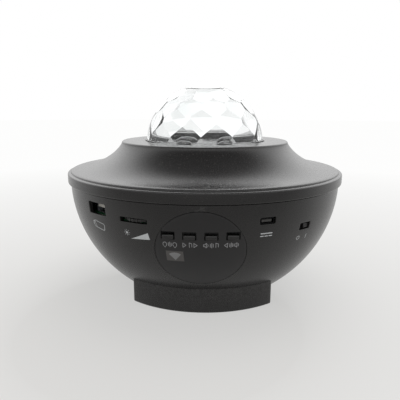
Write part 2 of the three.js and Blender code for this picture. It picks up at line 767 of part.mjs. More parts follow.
// Dome: a smooth round skin over a hollow that one slab planes flat for each facet
function dome() {
  const rimTop = neckHeight + domeRimHeight;
  const flangeTop = domeFlangeHeight + domeFlangeThickness;
  const skirt = domeHoleRadius - looseGap;
  const startAngle = Math.asin((rimTop - domeCentreHeight) / domeRadius);
  const skin = revolve([
    [0, domeFlangeHeight],
    [domeFlangeRadius, domeFlangeHeight],
    [domeFlangeRadius, flangeTop],
    [skirt, flangeTop],
    [skirt, rimTop],
    ...arc(0, domeCentreHeight, domeRadius, domeRadius, startAngle, domeTopAngle * degrees, domeSteps),
    [0, domeCentreHeight + domeRadius],
  ], bodySides);
  const slabs = [];
  facetRowAngles.forEach((angle, row) => {
    for (let i = 0; i < facetCount; i++) {
      slabs.push(new THREE.BoxGeometry(2 * domeRadius, domeRadius, 3 * domeRadius)
        .translate(0, -domeBore - domeRadius / 2, 0)
        .rotateX(-angle * degrees)
        .rotateZ(facetTurn * degrees + (i + (row + 1) / 2) * 2 * Math.PI / facetCount)
        .translate(0, 0, domeCentreHeight));
    }
  });
  const ceiling = domeCentreHeight + domeRadius - domeCapWall;
  const hollow = cut(post(domeRadius + domeWall, rimTop, ceiling, 0, 0, ringSides), ...slabs);
  const bore = post(domeBore, domeFlangeHeight - overrun, rimTop + gap, 0, 0, ringSides);
  const pegHoles = [];
  for (let i = 0; i < pegCount; i++) {
    const [x, y] = polar(pegSeatRadius, 360 * i / pegCount);
    pegHoles.push(post(pegRadius + gap, domeFlangeHeight - overrun, flangeTop + overrun, x, y));
  }
  return cut(skin, hollow, bore, ...pegHoles);
}

// Involute gear outline about the origin; a turn of 0 puts a tooth towards +X
function gearOutline(teeth, turn) {
  const pitch = gearModule * teeth / 2;
  const base = pitch * Math.cos(pressureAngle);
  const involute = (radius) => {
    const angle = Math.acos(Math.min(base / radius, 1));
    return Math.tan(angle) - angle;
  };
  const halfAtPitch = Math.PI / (2 * teeth) - backlash / (4 * pitch);
  const root = pitch - gearModule * dedendumShare;
  const tip = pitch + gearModule * addendumShare;
  const flank = teeth < fineTeeth ? [root, Math.max(base, root), pitch, tip] : [root, tip];
  const points = [];
  for (let tooth = 0; tooth < teeth; tooth++) {
    const middle = turn + 2 * Math.PI * tooth / teeth;
    const rising = flank.map((radius) => {
      return [radius, involute(pitch) - involute(Math.max(radius, base)) + halfAtPitch];
    });
    const place = (radius, angle) => {
      points.push(new THREE.Vector2(radius * Math.cos(middle + angle), radius * Math.sin(middle + angle)));
    };
    rising.forEach(([radius, half], i) => {
      if (i === 0 || radius > rising[i - 1][0]) place(radius, -half);
    });
    rising.toReversed().forEach(([radius, half], i, list) => {
      if (i === list.length - 1 || radius > list[i + 1][0]) place(radius, half);
    });
  }
  return points;
}

function gear(teeth, turn, z0, z1) {
  const outline = new THREE.Shape(gearOutline(teeth, turn));
  return new THREE.ExtrudeGeometry(outline, { depth: z1 - z0, bevelEnabled: false }).translate(0, 0, z0);
}

// Dome carrier: ring gear, tube and flange with pegs, running on the chassis collar
function domeCarrier() {
  const top = domeFlangeHeight - gap;
  const flangeBottom = top - carrierFlangeThickness;
  const gearTop = carrierBottom + gearThickness;
  const turn = Math.atan2(...polar(1, driveAzimuth).reverse());
  const ring = gear(ringTeeth, turn, carrierBottom, gearTop);
  const body = revolve([
    [carrierBore - overrun, carrierBottom],
    [carrierTubeRadius, carrierBottom],
    [carrierTubeRadius, flangeBottom],
    [domeFlangeRadius, flangeBottom],
    [domeFlangeRadius, top],
    [carrierBore - overrun, top],
  ]);
  const pegs = [];
  for (let i = 0; i < pegCount; i++) {
    const [x, y] = polar(pegSeatRadius, 360 * i / pegCount);
    pegs.push(post(pegRadius, flangeBottom, top + pegLength, x, y));
  }
  const bore = post(carrierBore, carrierBottom - overrun, top + overrun, 0, 0, ringSides);
  return cut(join(body, ring, ...pegs), bore);
}

// Pinion on the motor's shaft; its own azimuth frame has the ring gear behind it, at +Y
function pinion() {
  const z0 = carrierBottom + gap;
  const z1 = z0 + pinionThickness;
  const gapTowardsRing = Math.PI / 2 + Math.PI / pinionTeeth;
  return join(gear(pinionTeeth, gapTowardsRing, z0, z1), post(shaftRadius, z0 - shaftLength, z0 + gap));
}

function motor() {
  const gearboxBottom = motorTop - gearboxHeight;
  const z0 = motorTop - motorLength;
  const can = common(
    post(motorWidth / 2, z0, gearboxBottom + gap, 0, 0, 2 * smallSides),
    block(wide(motorWidth), wide(motorDepth), [z0, gearboxBottom + gap]),
  );
  const body = join(
    block(wide(motorWidth), wide(motorDepth), [gearboxBottom, motorTop]),
    can,
    post(motorCapRadius, z0 - motorCapLength, z0 + gap),
  );
  const screwHoles = [-1, 1].map((side) => {
    const x = side * motorScrewSpacing / 2;
    return post(motorScrew.shank + screwHoleGap, chassisTop - motorScrew.length, motorTop + overrun, x);
  });
  return cut(body, post(shaftRadius + gap, motorTop - shaftSeatDepth, motorTop + overrun), ...screwHoles);
}

// Chassis: plate with three arms, thrust ring, bearing collar with a ledge, and the laser's hub
function chassis() {
  const arms = armAzimuths.map((azimuth) => {
    const arm = join(
      block(wide(armWidth), [-armRadius, -laserRadius - hubWall], [chassisHeight, chassisTop]),
      post(armWidth / 2, chassisHeight, chassisTop, 0, -armRadius, 2 * smallSides),
    );
    return turned(arm, azimuth);
  });
  const laserBore = laserRadius + gap;
  const collar = revolve([
    [collarRadius, chassisHeight + gap],
    [collarRadius, collarHeight],
    [collarRadius - collarWall, collarHeight],
    [collarRadius - collarWall, ledgeHeight],
    [collarRadius - collarWall - ledgeWidth, ledgeHeight],
    [collarRadius - collarWall - ledgeWidth, ledgeHeight - ledgeWidth / 2],
    [collarRadius - collarWall, ledgeHeight - ledgeWidth],
    [collarRadius - collarWall, chassisHeight + gap],
  ]);
  const thrustTop = chassisTop + thrustHeight;
  const thrust = tube(collarRadius + thrustWidth, collarRadius - gap, chassisHeight + gap, thrustTop);
  const hub = tube(laserBore + hubWall, laserBore, chassisHeight - hubDepth, chassisTop);
  const plate = tube(chassisRadius, laserBore, chassisHeight, chassisTop);
  const armHoles = armAzimuths.map((azimuth) => {
    const [x, y] = polar(armRadius, azimuth);
    return post(chassisScrew.shank + screwHoleGap, chassisHeight - overrun, chassisTop + overrun, x, y);
  });
  const [x, y] = polar(driveRadius, driveAzimuth);
  const shaftHole = post(shaftRadius + gap, chassisHeight - overrun, chassisTop + overrun, x, y);
  const motorHoles = [-1, 1].map((side) => {
    const across = side * motorScrewSpacing / 2;
    const size = motorScrew.shank + screwHoleGap;
    return post(size, chassisHeight - overrun, chassisTop + overrun, across, -driveRadius)
      .rotateZ(driveAzimuth * degrees);
  });
  return cut(join(plate, ...arms, collar, thrust, hub), ...armHoles, shaftHole, ...motorHoles);
}

function turned(body, azimuth) {
  return shapeOf(body).rotateZ(azimuth * degrees);
}

// Deck inside the dome, with holes for the lamps and the laser
function deck() {
  const bottom = collarHeight + gap;
  const body = revolve([
    [0, deckBottom],
    [deckRadius - deckWall, deckBottom],
    [deckRadius - deckWall, bottom],
    [deckRadius, bottom],
    [deckRadius, deckHeight],
    [0, deckHeight],
  ]);
  const holes = lampAzimuths.map((azimuth) => {
    const [x, y] = polar(lampRadius, azimuth);
    return post(lensRadius + gap, deckBottom - overrun, deckHeight + overrun, x, y, 2 * smallSides);
  });
  return cut(body, ...holes, post(laserWindowRadius + gap, deckBottom - overrun, deckHeight + overrun));
}

function ledBoard() {
  return tube(collarRadius - collarWall - gap, laserRadius + looseGap, ledBoardHeight, ledBoardTop);
}

// Lamp lens: a foot on the lamp, a flange under the deck and a round top above it
function lens() {
  const foot = ledBoardTop + ledThickness + 2 * gap;
  const flangeTop = deckBottom - gap;
  return revolve([
    [0, foot],
    [lensFootRadius, foot],
    [lensFlangeRadius, flangeTop - lensFlangeThickness],
    [lensFlangeRadius, flangeTop],
    [lensRadius, flangeTop],
    ...arc(0, deckHeight, lensRadius, lensRise, 0, rimSweep * degrees, edgeSteps),
    [0, deckHeight + lensRise],
  ], 3 * smallSides / 2);
}

function laser() {
  const flangeBottom = chassisTop + gap;
  const body = join(
    post(laserRadius, laserTop - laserLength, laserTop, 0, 0, ringSides),
    post(laserRadius + laserFlangeWidth, flangeBottom, flangeBottom + laserFlangeThickness, 0, 0, ringSides),
  );
  return cut(body, post(laserWindowRadius - gap, laserTop - laserBoreDepth, laserTop + overrun));
}

// Main board: a segment of a circle, with a chip and a capacitor soldered on
function mainBoard() {
  const round = post(boardRadius, boardHeight, boardTop, 0, 0, bodySides);
  const cutHeights = [boardHeight - overrun, boardTop + overrun];
  const front = block(wide(2 * rimRadius), [-rimRadius, -boardRear], cutHeights);
  const holes = [-1, 1].map((side) => {
    const x = side * boardBossX;
    return post(boardScrew.shank + gap, ...cutHeights, x, boardBossY);
  });
  const [x, y] = polar(wheelCentreRadius, dimmerAzimuth);
  holes.push(post(wheelShaftRadius + looseGap, ...cutHeights, x, y));
  holes.push(post(boardPinRadius + gap, ...cutHeights, 0, -boardPillarY));
  const chipY = wide(chipSize, -boardRear - 2 * chipSize);
  const soldered = [
    block(wide(chipSize), chipY, [boardTop - gap, boardTop + chipThickness]),
    post(capacitorRadius, boardTop - gap, boardTop + capacitorHeight, 2 * chipSize, -boardRear - chipSize),
  ];
  return cut(join(common(round, front), ...soldered), ...holes);
}

// A metal-shelled socket facing -Y: a tube with a tongue on its back wall
function socket({ width, tall, length, shell, face, height, tongue }) {
  const back = -face + length;
  const inner = [-face - overrun, back - shell * 2];
  const shellBox = block(wide(width), [-face, back], wide(tall, height));
  const hollow = block(wide(width - 2 * shell), inner, wide(tall - 2 * shell, height));
  const tongueY = [-face + tongue.setback, back - shell];
  const strip = block(wide(tongue.width), tongueY, wide(tongue.thickness, tongue.height));
  return join(cut(shellBox, hollow), strip);
}

function usbSocket() {
  return socket({
    width: usbWidth,
    tall: usbTall,
    length: usbLength,
    shell: usbShell,
    face: bowlRadiusAt(usbHeight) - usbSetback,
    height: usbHeight,
    tongue: {
      width: usbTongueWidth,
      thickness: usbTongueThickness,
      setback: usbTongueSetback,
      height: usbHeight + usbTongueRise,
    },
  });
}

function inletSocket() {
  return socket({
    width: inletWidth,
    tall: inletTall,
    length: inletLength,
    shell: inletShell,
    face: bowlRadiusAt(inletHeight) - inletSetback,
    height: inletHeight,
    tongue: {
      width: inletTongueWidth,
      thickness: inletTongueThickness,
      setback: inletTongueSetback,
      height: inletHeight,
    },
  });
}

// Slide switch: the body holds the knob's foot behind a lip
const switchBodyFace = bowlRadiusAt(switchBodyTop - switchBodyTall, bowlWall) - gap
  - switchBodyWidth * switchBodyWidth / (8 * bowlRadius);

function switchBody() {
  const opening = knobWidth + switchTravel + 2 * looseGap;
  const footRoom = knobTall + 2 * knobFootMargin + 2 * gap;
  const lipBack = -switchBodyFace + switchLipThickness;
  const footBack = lipBack + knobFootThickness + 2 * gap;
  const body = block(
    wide(switchBodyWidth),
    [-switchBodyFace, -switchBodyFace + switchBodyDepth],
    [switchBodyTop - switchBodyTall, switchBodyTop],
  );
  return cut(
    body,
    block(wide(opening), [-switchBodyFace - overrun, lipBack + gap], wide(knobTall + 2 * gap, switchHeight)),
    block(wide(opening + 2 * knobFootMargin), [lipBack, footBack], wide(footRoom, switchHeight)),
  );
}

function switchKnob() {
  const face = bowlRadiusAt(switchHeight) - knobRecess;
  const footFront = -switchBodyFace + switchLipThickness + gap;
  const x = switchTravel / 2;
  const foot = block(
    wide(knobWidth + 2 * knobFootMargin, x),
    [footFront, footFront + knobFootThickness],
    wide(knobTall + 2 * knobFootMargin, switchHeight),
  );
  return join(block(wide(knobWidth, x), [-face, footFront + gap], wide(knobTall, switchHeight)), foot);
}

// Brightness wheel with a ridged edge, and the body that its shaft turns in
function dimmerWheel() {
  const outline = new THREE.Shape();
  for (let i = 0; i < 2 * wheelRidges; i++) {
    const radius = wheelRadius - (i % 2) * ridgeDepth;
    const angle = Math.PI * i / wheelRidges;
    const move = i === 0 ? "moveTo" : "lineTo";
    outline[move](radius * Math.cos(angle), radius * Math.sin(angle));
  }
  const z0 = dimmerHeight - wheelThickness / 2;
  const disc = new THREE.ExtrudeGeometry(outline, { depth: wheelThickness, bevelEnabled: false })
    .translate(0, 0, z0);
  return join(disc, post(wheelShaftRadius, boardHeight - wheelShaftSeat, z0 + gap));
}

function dimmerBody() {
  const top = boardHeight - gap;
  const body = block(wide(dimmerBodySize), wide(dimmerBodySize), [top - dimmerBodyTall, top]);
  return cut(body, post(wheelShaftRadius + gap, top - wheelShaftSeat, top + overrun));
}

// Button: cap in the window, flange behind the wall and plunger in the key switch
function button(index) {
  const x = buttonX(index);
  const outside = bowlRadiusAt(buttonHeight);
  const face = Math.sqrt(outside * outside - x * x) - buttonRecess;
  const flangeWidth = buttonWindowWidth + buttonFlangeMargin;
  const flangeTall = buttonWindowTall + buttonFlangeMargin;
  const inside = bowlRadiusAt(buttonHeight - flangeTall / 2, bowlWall);
  const farEdge = Math.abs(x) + flangeWidth / 2;
  const flangeFace = Math.sqrt(inside * inside - farEdge * farEdge) - gap;
  const flangeBack = flangeFace - buttonFlangeThickness;
  return join(
    block(wide(buttonWidth), [-face, -flangeBack], wide(buttonTall)),
    block(wide(flangeWidth), [-flangeFace, -flangeBack], wide(flangeTall)),
    spindle(plungerRadius, -flangeFace, -keySwitchFace + plungerSeatDepth - buttonTravel - gap, 0),
  );
}

function keySwitch() {
  const top = boardHeight - gap - buttonHeight;
  const body = block(
    wide(keySwitchWidth),
    [-keySwitchFace, -keySwitchFace + keySwitchDepth],
    [top - keySwitchTall, top],
  );
  const seatEnd = -keySwitchFace + plungerSeatDepth;
  return cut(body, spindle(plungerRadius + gap, -keySwitchFace - overrun, seatEnd, 0));
}

// Remote receiver: body, round lens towards the bowl and three legs up to the board
function receiver() {
  const rear = -receiverFace + receiverDepth;
  const top = receiverHeight + receiverTall / 2;
  const body = block(wide(receiverWidth), [-receiverFace, rear], [top - receiverTall, top]);
  const eye = new THREE.SphereGeometry(receiverLensRadius, smallSides, smallSides / 2)
    .translate(0, -receiverFace, receiverHeight);
  const legs = [-1, 0, 1].map((side) => {
    return block(wide(legWidth, side * legPitch), [rear - legWidth, rear], [top - gap, boardHeight - gap]);
  });
  return join(body, eye, ...legs);
}

// Speaker: basket with a flange, magnet above it and paper cone facing down
function speakerFrame() {
  const flangeTop = speakerBottom + speakerFlangeThickness;
  const rim = coneRadius + surroundWidth / 2 + looseGap;
  const top = speakerBottom + basketHeight;
  const shell = revolve([
    [rim - basketWall, speakerBottom],
    [speakerRadius, speakerBottom],
    [speakerRadius, flangeTop],
    [rim + basketWall, flangeTop],
    [basketTopRadius + basketWall, top],
    [0, top],
    [0, top - basketWall],
    [basketTopRadius, top - basketWall],
    [rim, flangeTop],
    [rim, speakerBottom + basketWall / 2],
    [rim - basketWall, speakerBottom + basketWall / 2],
  ]);
  const windows = [];
  for (let i = 0; i < basketWindows; i++) {
    const z = [flangeTop + 2 * basketWall, top - 2 * basketWall];
    const window = block(wide(basketWindowWidth), [-speakerRadius, -basketTopRadius], z);
    windows.push(window.rotateZ(2 * Math.PI * (i + 1 / 2) / basketWindows));
  }
  return cut(shell, ...windows);
}

function speakerMagnet() {
  const z0 = speakerBottom + basketHeight + gap;
  return post(magnetRadius, z0, z0 + magnetHeight, 0, 0, ringSides);
}

function speakerCone() {
  const rim = coneRadius + surroundWidth / 2;
  const edge = speakerBottom + basketWall / 2 + gap;
  const below = [
    [rim, edge],
    ...arc(coneRadius, edge, surroundWidth / 2 - coneThickness, surroundRise, 0, Math.PI, edgeSteps + 1),
    [coneThroatRadius, edge + coneDepth],
    [0, edge + coneDepth - surroundRise],
  ];
  const above = below.map(([r, z]) => [r, z + coneThickness]);
  return revolve([...below, ...above.reverse()]);
}

// A screw standing head down from z = 0; one that shows is sunk and has a cross
function screw({ head, headThickness, shank, length }, shows = false) {
  const top = headThickness;
  const body = revolve([
    [0, 0],
    [head, 0],
    ...(shows ? [] : [[head, top]]),
    [shank, top],
    [shank, length - shank],
    [0, length],
  ], smallSides);
  if (!shows) return body;
  const bars = [0, 90].map((angle) => {
    return block(wide(crossWidth), wide(head), [-overrun, crossDepth]).rotateZ(angle * degrees);
  });
  return cut(body, ...bars);
}

// The whole lamp
const lamp = new THREE.Group();

add(lamp, "bowl", bowl(), blackPlastic);
add(lamp, "label", label(), labelFilm);
add(lamp, "top_cover", topCover(), blackPlastic);
add(lamp, "bottom_cover", bottomCover(), blackPlastic);
padAzimuths().forEach((azimuth, i) => {
  add(lamp, `foot_pad_${i + 1}`, padRing(azimuth, 0, 0, padThickness), rubber);
});

add(lamp, "dome", dome(), clearPlastic);
add(lamp, "dome_carrier", domeCarrier(), whitePlastic);
const drive = turnedGroup(lamp, driveAzimuth);
add(drive, "motor_pinion", pinion(), whitePlastic, 0, -driveRadius);
add(drive, "motor", motor(), steel, 0, -driveRadius);
[-1, 1].forEach((side, i) => {
  const shape = screw(motorScrew).rotateX(Math.PI);
  const x = side * motorScrewSpacing / 2;
  const z = chassisTop + motorScrew.headThickness + gap;
  add(drive, `motor_screw_${i + 1}`, shape, darkSteel, x, -driveRadius, z);
});

add(lamp, "chassis", chassis(), blackPlastic);
add(lamp, "deck", deck(), blackPlastic);
add(lamp, "led_board", ledBoard(), boardWhite);
lampAzimuths.forEach((azimuth, i) => {
  const corner = turnedGroup(lamp, azimuth);
  const chip = block(wide(ledSize), wide(ledSize), [0, ledThickness]);
  const look = { color: lampColours[i], roughness: 0.3, metalness: 0 };
  add(corner, `led_${i + 1}`, chip, look, 0, -lampRadius, ledBoardTop + gap);
  add(corner, `lens_${i + 1}`, lens(), clearPlastic, 0, -lampRadius);
});
add(lamp, "laser", laser(), brass);
const laserPane = post(laserWindowRadius, deckBottom, deckBottom + laserWindowThickness);
add(lamp, "laser_window", laserPane, clearPlastic);

add(lamp, "main_board", mainBoard(), boardGreen);
add(turnedGroup(lamp, usbAzimuth), "usb_socket", usbSocket(), steel);
add(turnedGroup(lamp, inletAzimuth), "power_inlet", inletSocket(), steel);
const switchGroup = turnedGroup(lamp, switchAzimuth);
add(switchGroup, "switch_body", switchBody(), darkSteel);
add(switchGroup, "switch_knob", switchKnob(), blackPlastic);
const dimmer = turnedGroup(lamp, dimmerAzimuth);
add(dimmer, "dimmer_body", dimmerBody(), darkSteel, 0, -wheelCentreRadius);
add(dimmer, "dimmer_wheel", dimmerWheel(), blackPlastic, 0, -wheelCentreRadius);
for (let i = 0; i < buttonCount; i++) {
  add(lamp, `button_${i + 1}`, button(i), blackPlastic, buttonX(i), 0, buttonHeight);
  add(lamp, `key_switch_${i + 1}`, keySwitch(), darkSteel, buttonX(i), 0, buttonHeight);
}
add(turnedGroup(lamp, receiverAzimuth), "remote_receiver", receiver(), ferrite);

add(lamp, "speaker_frame", speakerFrame(), darkSteel);
add(lamp, "speaker_magnet", speakerMagnet(), ferrite);
add(lamp, "speaker_cone", speakerCone(), paper);

coverPostAzimuths.forEach((azimuth, i) => {
  const [x, y] = polar(coverPostRadius, azimuth);
  const z = postFloor - gap - coverScrew.headThickness;
  add(lamp, `cover_screw_${i + 1}`, screw(coverScrew), steel, x, y, z);
});
baseScrewAzimuths.forEach((azimuth, i) => {
  const [x, y] = polar(baseScrewRadius, azimuth);
  add(lamp, `base_screw_${i + 1}`, screw(baseScrew, true), steel, x, y, plateHeight);
});
[-1, 1].forEach((side, i) => {
  const shape = screw(boardScrew).rotateX(Math.PI);
  const z = boardTop + gap + boardScrew.headThickness;
  add(lamp, `board_screw_${i + 1}`, shape, steel, side * boardBossX, boardBossY, z);
});
armAzimuths.forEach((azimuth, i) => {
  const [x, y] = polar(armRadius, azimuth);
  const z = chassisHeight - gap - chassisScrew.headThickness;
  add(lamp, `chassis_screw_${i + 1}`, screw(chassisScrew), steel, x, y, z);
});

export default lamp;
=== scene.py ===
# %% [markdown]
# # A small disco light
# The real lamp is a black moulded bowl on two arched feet, closed by a flared cover. A clear dome,
# smooth outside and faceted inside, stands in the cover's middle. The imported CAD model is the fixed
# frame of this scene: each piece made below lies in the same place, in metres, and the moving ones
# ride on the model's bodies.

# %% Load the fixed frame
import json
import math

import bmesh
import bpy
from mathutils import Matrix, Vector


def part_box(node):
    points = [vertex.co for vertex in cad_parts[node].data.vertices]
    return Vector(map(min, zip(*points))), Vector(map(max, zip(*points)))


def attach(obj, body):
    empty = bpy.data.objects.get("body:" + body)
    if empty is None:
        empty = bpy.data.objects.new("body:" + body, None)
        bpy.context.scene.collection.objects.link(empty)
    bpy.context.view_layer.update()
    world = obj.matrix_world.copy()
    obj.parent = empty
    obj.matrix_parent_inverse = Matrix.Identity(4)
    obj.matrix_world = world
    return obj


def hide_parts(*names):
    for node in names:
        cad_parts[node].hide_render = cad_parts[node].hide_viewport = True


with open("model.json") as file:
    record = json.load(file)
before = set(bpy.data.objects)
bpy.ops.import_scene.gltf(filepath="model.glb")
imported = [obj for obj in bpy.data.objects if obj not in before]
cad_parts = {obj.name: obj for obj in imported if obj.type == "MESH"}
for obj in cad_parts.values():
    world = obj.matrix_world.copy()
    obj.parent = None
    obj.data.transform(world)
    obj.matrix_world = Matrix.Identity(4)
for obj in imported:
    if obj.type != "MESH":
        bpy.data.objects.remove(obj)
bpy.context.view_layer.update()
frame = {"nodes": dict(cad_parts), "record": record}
MM = 0.001

# %% [markdown]
# ## The camera
# The camera stands a little over a quarter of a metre in front of the buttons and looks down at
# them. Its place and lens were worked out from the ellipses that the lamp's round edges make in the
# picture, so the scene can be laid over it.

# %% Camera
def in_scene(name, data):
    """Puts a mesh, a camera or a lamp into the scene as an object."""
    made = bpy.data.objects.new(name, data)
    bpy.context.scene.collection.objects.link(made)
    return made


def set_camera(place, heading, dip, roll, lens):
    data = bpy.data.cameras.new("camera")
    data.lens, data.sensor_width = lens, 36
    data.clip_start, data.clip_end = 0.01, 50
    camera = in_scene("camera", data)
    stance = Matrix.Translation(place)
    for angle, axis in ((heading, "Z"), (90 - dip, "X"), (roll, "Z")):
        stance = stance @ Matrix.Rotation(math.radians(angle), 4, axis)
    camera.matrix_world = stance
    bpy.context.scene.camera = camera
    return camera


camera = set_camera((0.00627, -0.27623, 0.10787), heading=1.88, dip=12.2, roll=0.18, lens=39.87)
print("camera at", [round(x, 3) for x in camera.location])

# %% [markdown]
# ## Adding nodes
# Every finish below is a small tree of nodes. One helper adds a node, sets its options, and fills its
# inputs: an input that is given another node's output is linked, and any other is set to a value.
# Short helpers stand on it for what turns up again and again, such as a blend or a product.

# %% Helpers for nodes
def add(tree, kind, inputs=None, **options):
    """Adds a node. The first part of a shader node's name is left out of its kind."""
    made = tree.nodes.new(kind if kind.startswith("GeometryNode") else "ShaderNode" + kind)
    for option, value in options.items():
        setattr(made, option, value)
    for key, value in (inputs or {}).items():
        if isinstance(value, bpy.types.NodeSocket):
            tree.links.new(value, made.inputs[key])
        else:
            made.inputs[key].default_value = value
    return made


def mix(tree, share, first, second):
    """Blends two colours; a share of 1 is all the second one."""
    return add(tree, "MixRGB", {"Fac": share, "Color1": first, "Color2": second}).outputs["Color"]


def between(tree, value, low, high, start=0.0, end=1.0):
    """Turns the range from low to high into the range from start to end, and holds it there."""
    numbers = {"Value": value, "From Min": low, "From Max": high, "To Min": start, "To Max": end}
    return add(tree, "MapRange", numbers).outputs["Result"]


def calculate(tree, operation, first, second):
    return add(tree, "Math", {0: first, 1: second}, operation=operation).outputs["Value"]


def product(tree, first, second):
    return calculate(tree, "MULTIPLY", first, second)


def noise(tree, place, scale, detail=2.0):
    """A cloudy pattern between 0 and 1."""
    return add(tree, "TexNoise", {"Vector": place, "Scale": scale, "Detail": detail}).outputs["Fac"]


def bumps(tree, height, strength, millimetres):
    """Turns heights into a bent surface normal."""
    values = {"Height": height, "Strength": strength, "Distance": millimetres * MM}
    return add(tree, "Bump", values).outputs[0]


def grey(level):
    return (level, level, level, 1)


def srgb(code):
    """A colour as a designer writes it, such as 1c1b1b, in the linear values that shaders use."""
    shares = [int(code[i:i + 2], 16) / 255 for i in (0, 2, 4)]
    return [s / 12.92 if s <= 0.04045 else ((s + 0.055) / 1.055) ** 2.4 for s in shares] + [1.0]


print("black plastic in linear values:", [round(c, 4) for c in srgb("1c1b1b")])

# %% [markdown]
# ## Beginning and ending a tree
# Each material starts from an empty tree and ends in an output. The room and the floor also ask what
# kind of ray arrives: rays that look, straight or by way of gloss or clear plastic, may see something
# other than the light that falls on the lamp.

# %% Trees from start to end
def blank(owner):
    """Empties the node tree of a material or a world."""
    owner.use_nodes = True
    owner.node_tree.nodes.clear()
    return owner.node_tree


def new_material(name):
    """A material, its empty tree, and the place on the object, for its patterns."""
    made = bpy.data.materials.new(name)
    tree = blank(made)
    return made, tree, add(tree, "TexCoord").outputs["Object"]


def close(owner, shader, output="OutputMaterial"):
    """Sends a shader to the output of its material or world."""
    tree = owner.node_tree
    tree.links.new(shader.outputs[0], add(tree, output).inputs["Surface"])
    return owner


def looking_rays(tree):
    """The kinds of ray, and a mask of those that look: from the camera, mirrored or refracted."""
    ray = add(tree, "LightPath").outputs
    looks = calculate(tree, "MAXIMUM", ray["Is Camera Ray"], ray["Is Glossy Ray"])
    return ray, calculate(tree, "MAXIMUM", looks, ray["Is Transmission Ray"])


# %% [markdown]
# ## A white studio
# The lamp stands on a pale sweep in white surroundings, and a black glossy thing is only seen by what
# it mirrors. So the camera meets plain white, while mirrored rays meet a room that is brightest at
# middle height and darker above and on the side of the buttons. Rays through the clear dome meet a
# view a little brighter than white. Plain light on the lamp stays at a level at which a colour looks
# as it is written.

# %% World
def set_world(plain_light, skyline, band, ceiling, front_share, glass_view):
    """Levels of the light, of the room from its skyline up, and of the view through the dome."""
    band_starts, band_ends, buttons_side = (0.0, 0.4), (0.60, 0.84), (-0.45, 0.15)
    world = bpy.data.worlds.new("white room")
    bpy.context.scene.world = world
    tree = blank(world)
    side = add(tree, "SeparateXYZ", {0: add(tree, "TexCoord").outputs["Generated"]}).outputs
    rise = between(tree, side["Z"], *band_starts)
    fall = between(tree, side["Z"], *band_ends)
    level = mix(tree, fall, mix(tree, rise, grey(skyline), grey(band)), grey(ceiling))
    away_from_buttons = between(tree, side["Y"], *buttons_side)
    room = mix(tree, away_from_buttons, mix(tree, front_share, grey(0.0), level), level)
    ray, looks = looking_rays(tree)
    behind = mix(tree, ray["Is Transmission Ray"], room, grey(glass_view))
    seen = mix(tree, ray["Is Camera Ray"], behind, grey(1.0))
    lit = add(tree, "Background", {"Color": (1, 0.995, 0.985, 1), "Strength": plain_light})
    shown = add(tree, "Background", {"Color": seen, "Strength": 1.0})
    both = add(tree, "MixShader", {0: looks, 1: lit.outputs[0], 2: shown.outputs[0]})
    close(world, both, output="OutputWorld")


def add_softbox(name, place, aim, width, watts):
    data = bpy.data.lights.new(name, "AREA")
    data.shape, data.size, data.energy = "SQUARE", width, watts
    softbox = in_scene(name, data)
    softbox.location = place
    softbox.rotation_euler = (Vector(aim) - Vector(place)).to_track_quat("-Z", "Y").to_euler()
    softbox.visible_camera = False
    softbox.visible_glossy = False


set_world(plain_light=0.62, skyline=0.9, band=2.1, ceiling=0.25, front_share=0.65, glass_view=1.15)
add_softbox("softbox_above", (0.15, 0.35, 1.05), (0, 0, 0.05), width=0.9, watts=4.6)
print("world and one softbox; the rest is the white room")

# %% [markdown]
# ## The floor
# The floor is one pale sheet that takes the soft shadow under the bowl. For rays that look, a part of
# it glows by itself, and with the distance from the lamp all of it does and it turns white, as a
# sheet of paper does that is curved up behind a product. In the lamp's gloss the floor in front of
# the buttons is darker, as in the real lamp's.

# %% Floor
def make_floor(radius, colour, centre, near, far, glow, glow_share, curve, front_dim):
    """A disc that fades from a lit sheet to white between two distances from a centre."""
    sides, far_white = 48, (0.985, 0.985, 0.98, 1)
    turns = [2 * math.pi * i / sides for i in range(sides)]
    mesh = bpy.data.meshes.new("floor")
    edge = [(radius * math.cos(a), radius * math.sin(a), 0) for a in turns]
    mesh.from_pydata(edge, [], [list(range(sides))])
    floor = in_scene("floor", mesh)
    paper, tree, place = new_material("paper sweep")
    fibres = noise(tree, place, 900.0, 3.0)
    tone = mix(tree, between(tree, fibres, 0.3, 0.7), colour, [c * 0.985 for c in colour[:3]] + [1])
    sheet = add(tree, "BsdfPrincipled", {"Base Color": tone, "Roughness": 0.9,
                                         "Normal": bumps(tree, fibres, 0.1, 0.1)})
    away = add(tree, "VectorMath", {0: place, 1: centre}, operation="DISTANCE")
    fade = calculate(tree, "POWER", between(tree, away.outputs["Value"], near, far), curve)
    ray, looks = looking_rays(tree)
    tint = mix(tree, fade, (glow, glow, glow * 0.99, 1), far_white)
    depth = add(tree, "SeparateXYZ", {0: place}).outputs["Y"]
    mirrored_front = product(tree, ray["Is Glossy Ray"], between(tree, depth, 0.0, -0.2))
    dim = mix(tree, product(tree, mirrored_front, front_dim), tint, grey(0.0))
    white = add(tree, "Emission", {"Color": dim, "Strength": 1.0})
    share = product(tree, between(tree, fade, 0.0, 1.0, glow_share, 1.0), looks)
    close(paper, add(tree, "MixShader", {0: share, 1: sheet.outputs[0], 2: white.outputs[0]}))
    mesh.materials.append(paper)


make_floor(3.0, srgb("e6e3df"), centre=(-0.02, -0.07, 0), near=0.07, far=0.60, glow=0.74, glow_share=0.7,
           curve=0.55, front_dim=0.55)
print("floor of 6 m across, white from 0.6 m on")

# %% [markdown]
# ## Effects that the finishes share
# Moulded grain, an uneven tone, polish along edges and a little dust turn up on many pieces. Each
# is a node group with named inputs, built once and placed in a finish with its own values. A group
# only works out masks and heights; the shader itself stays in the material.

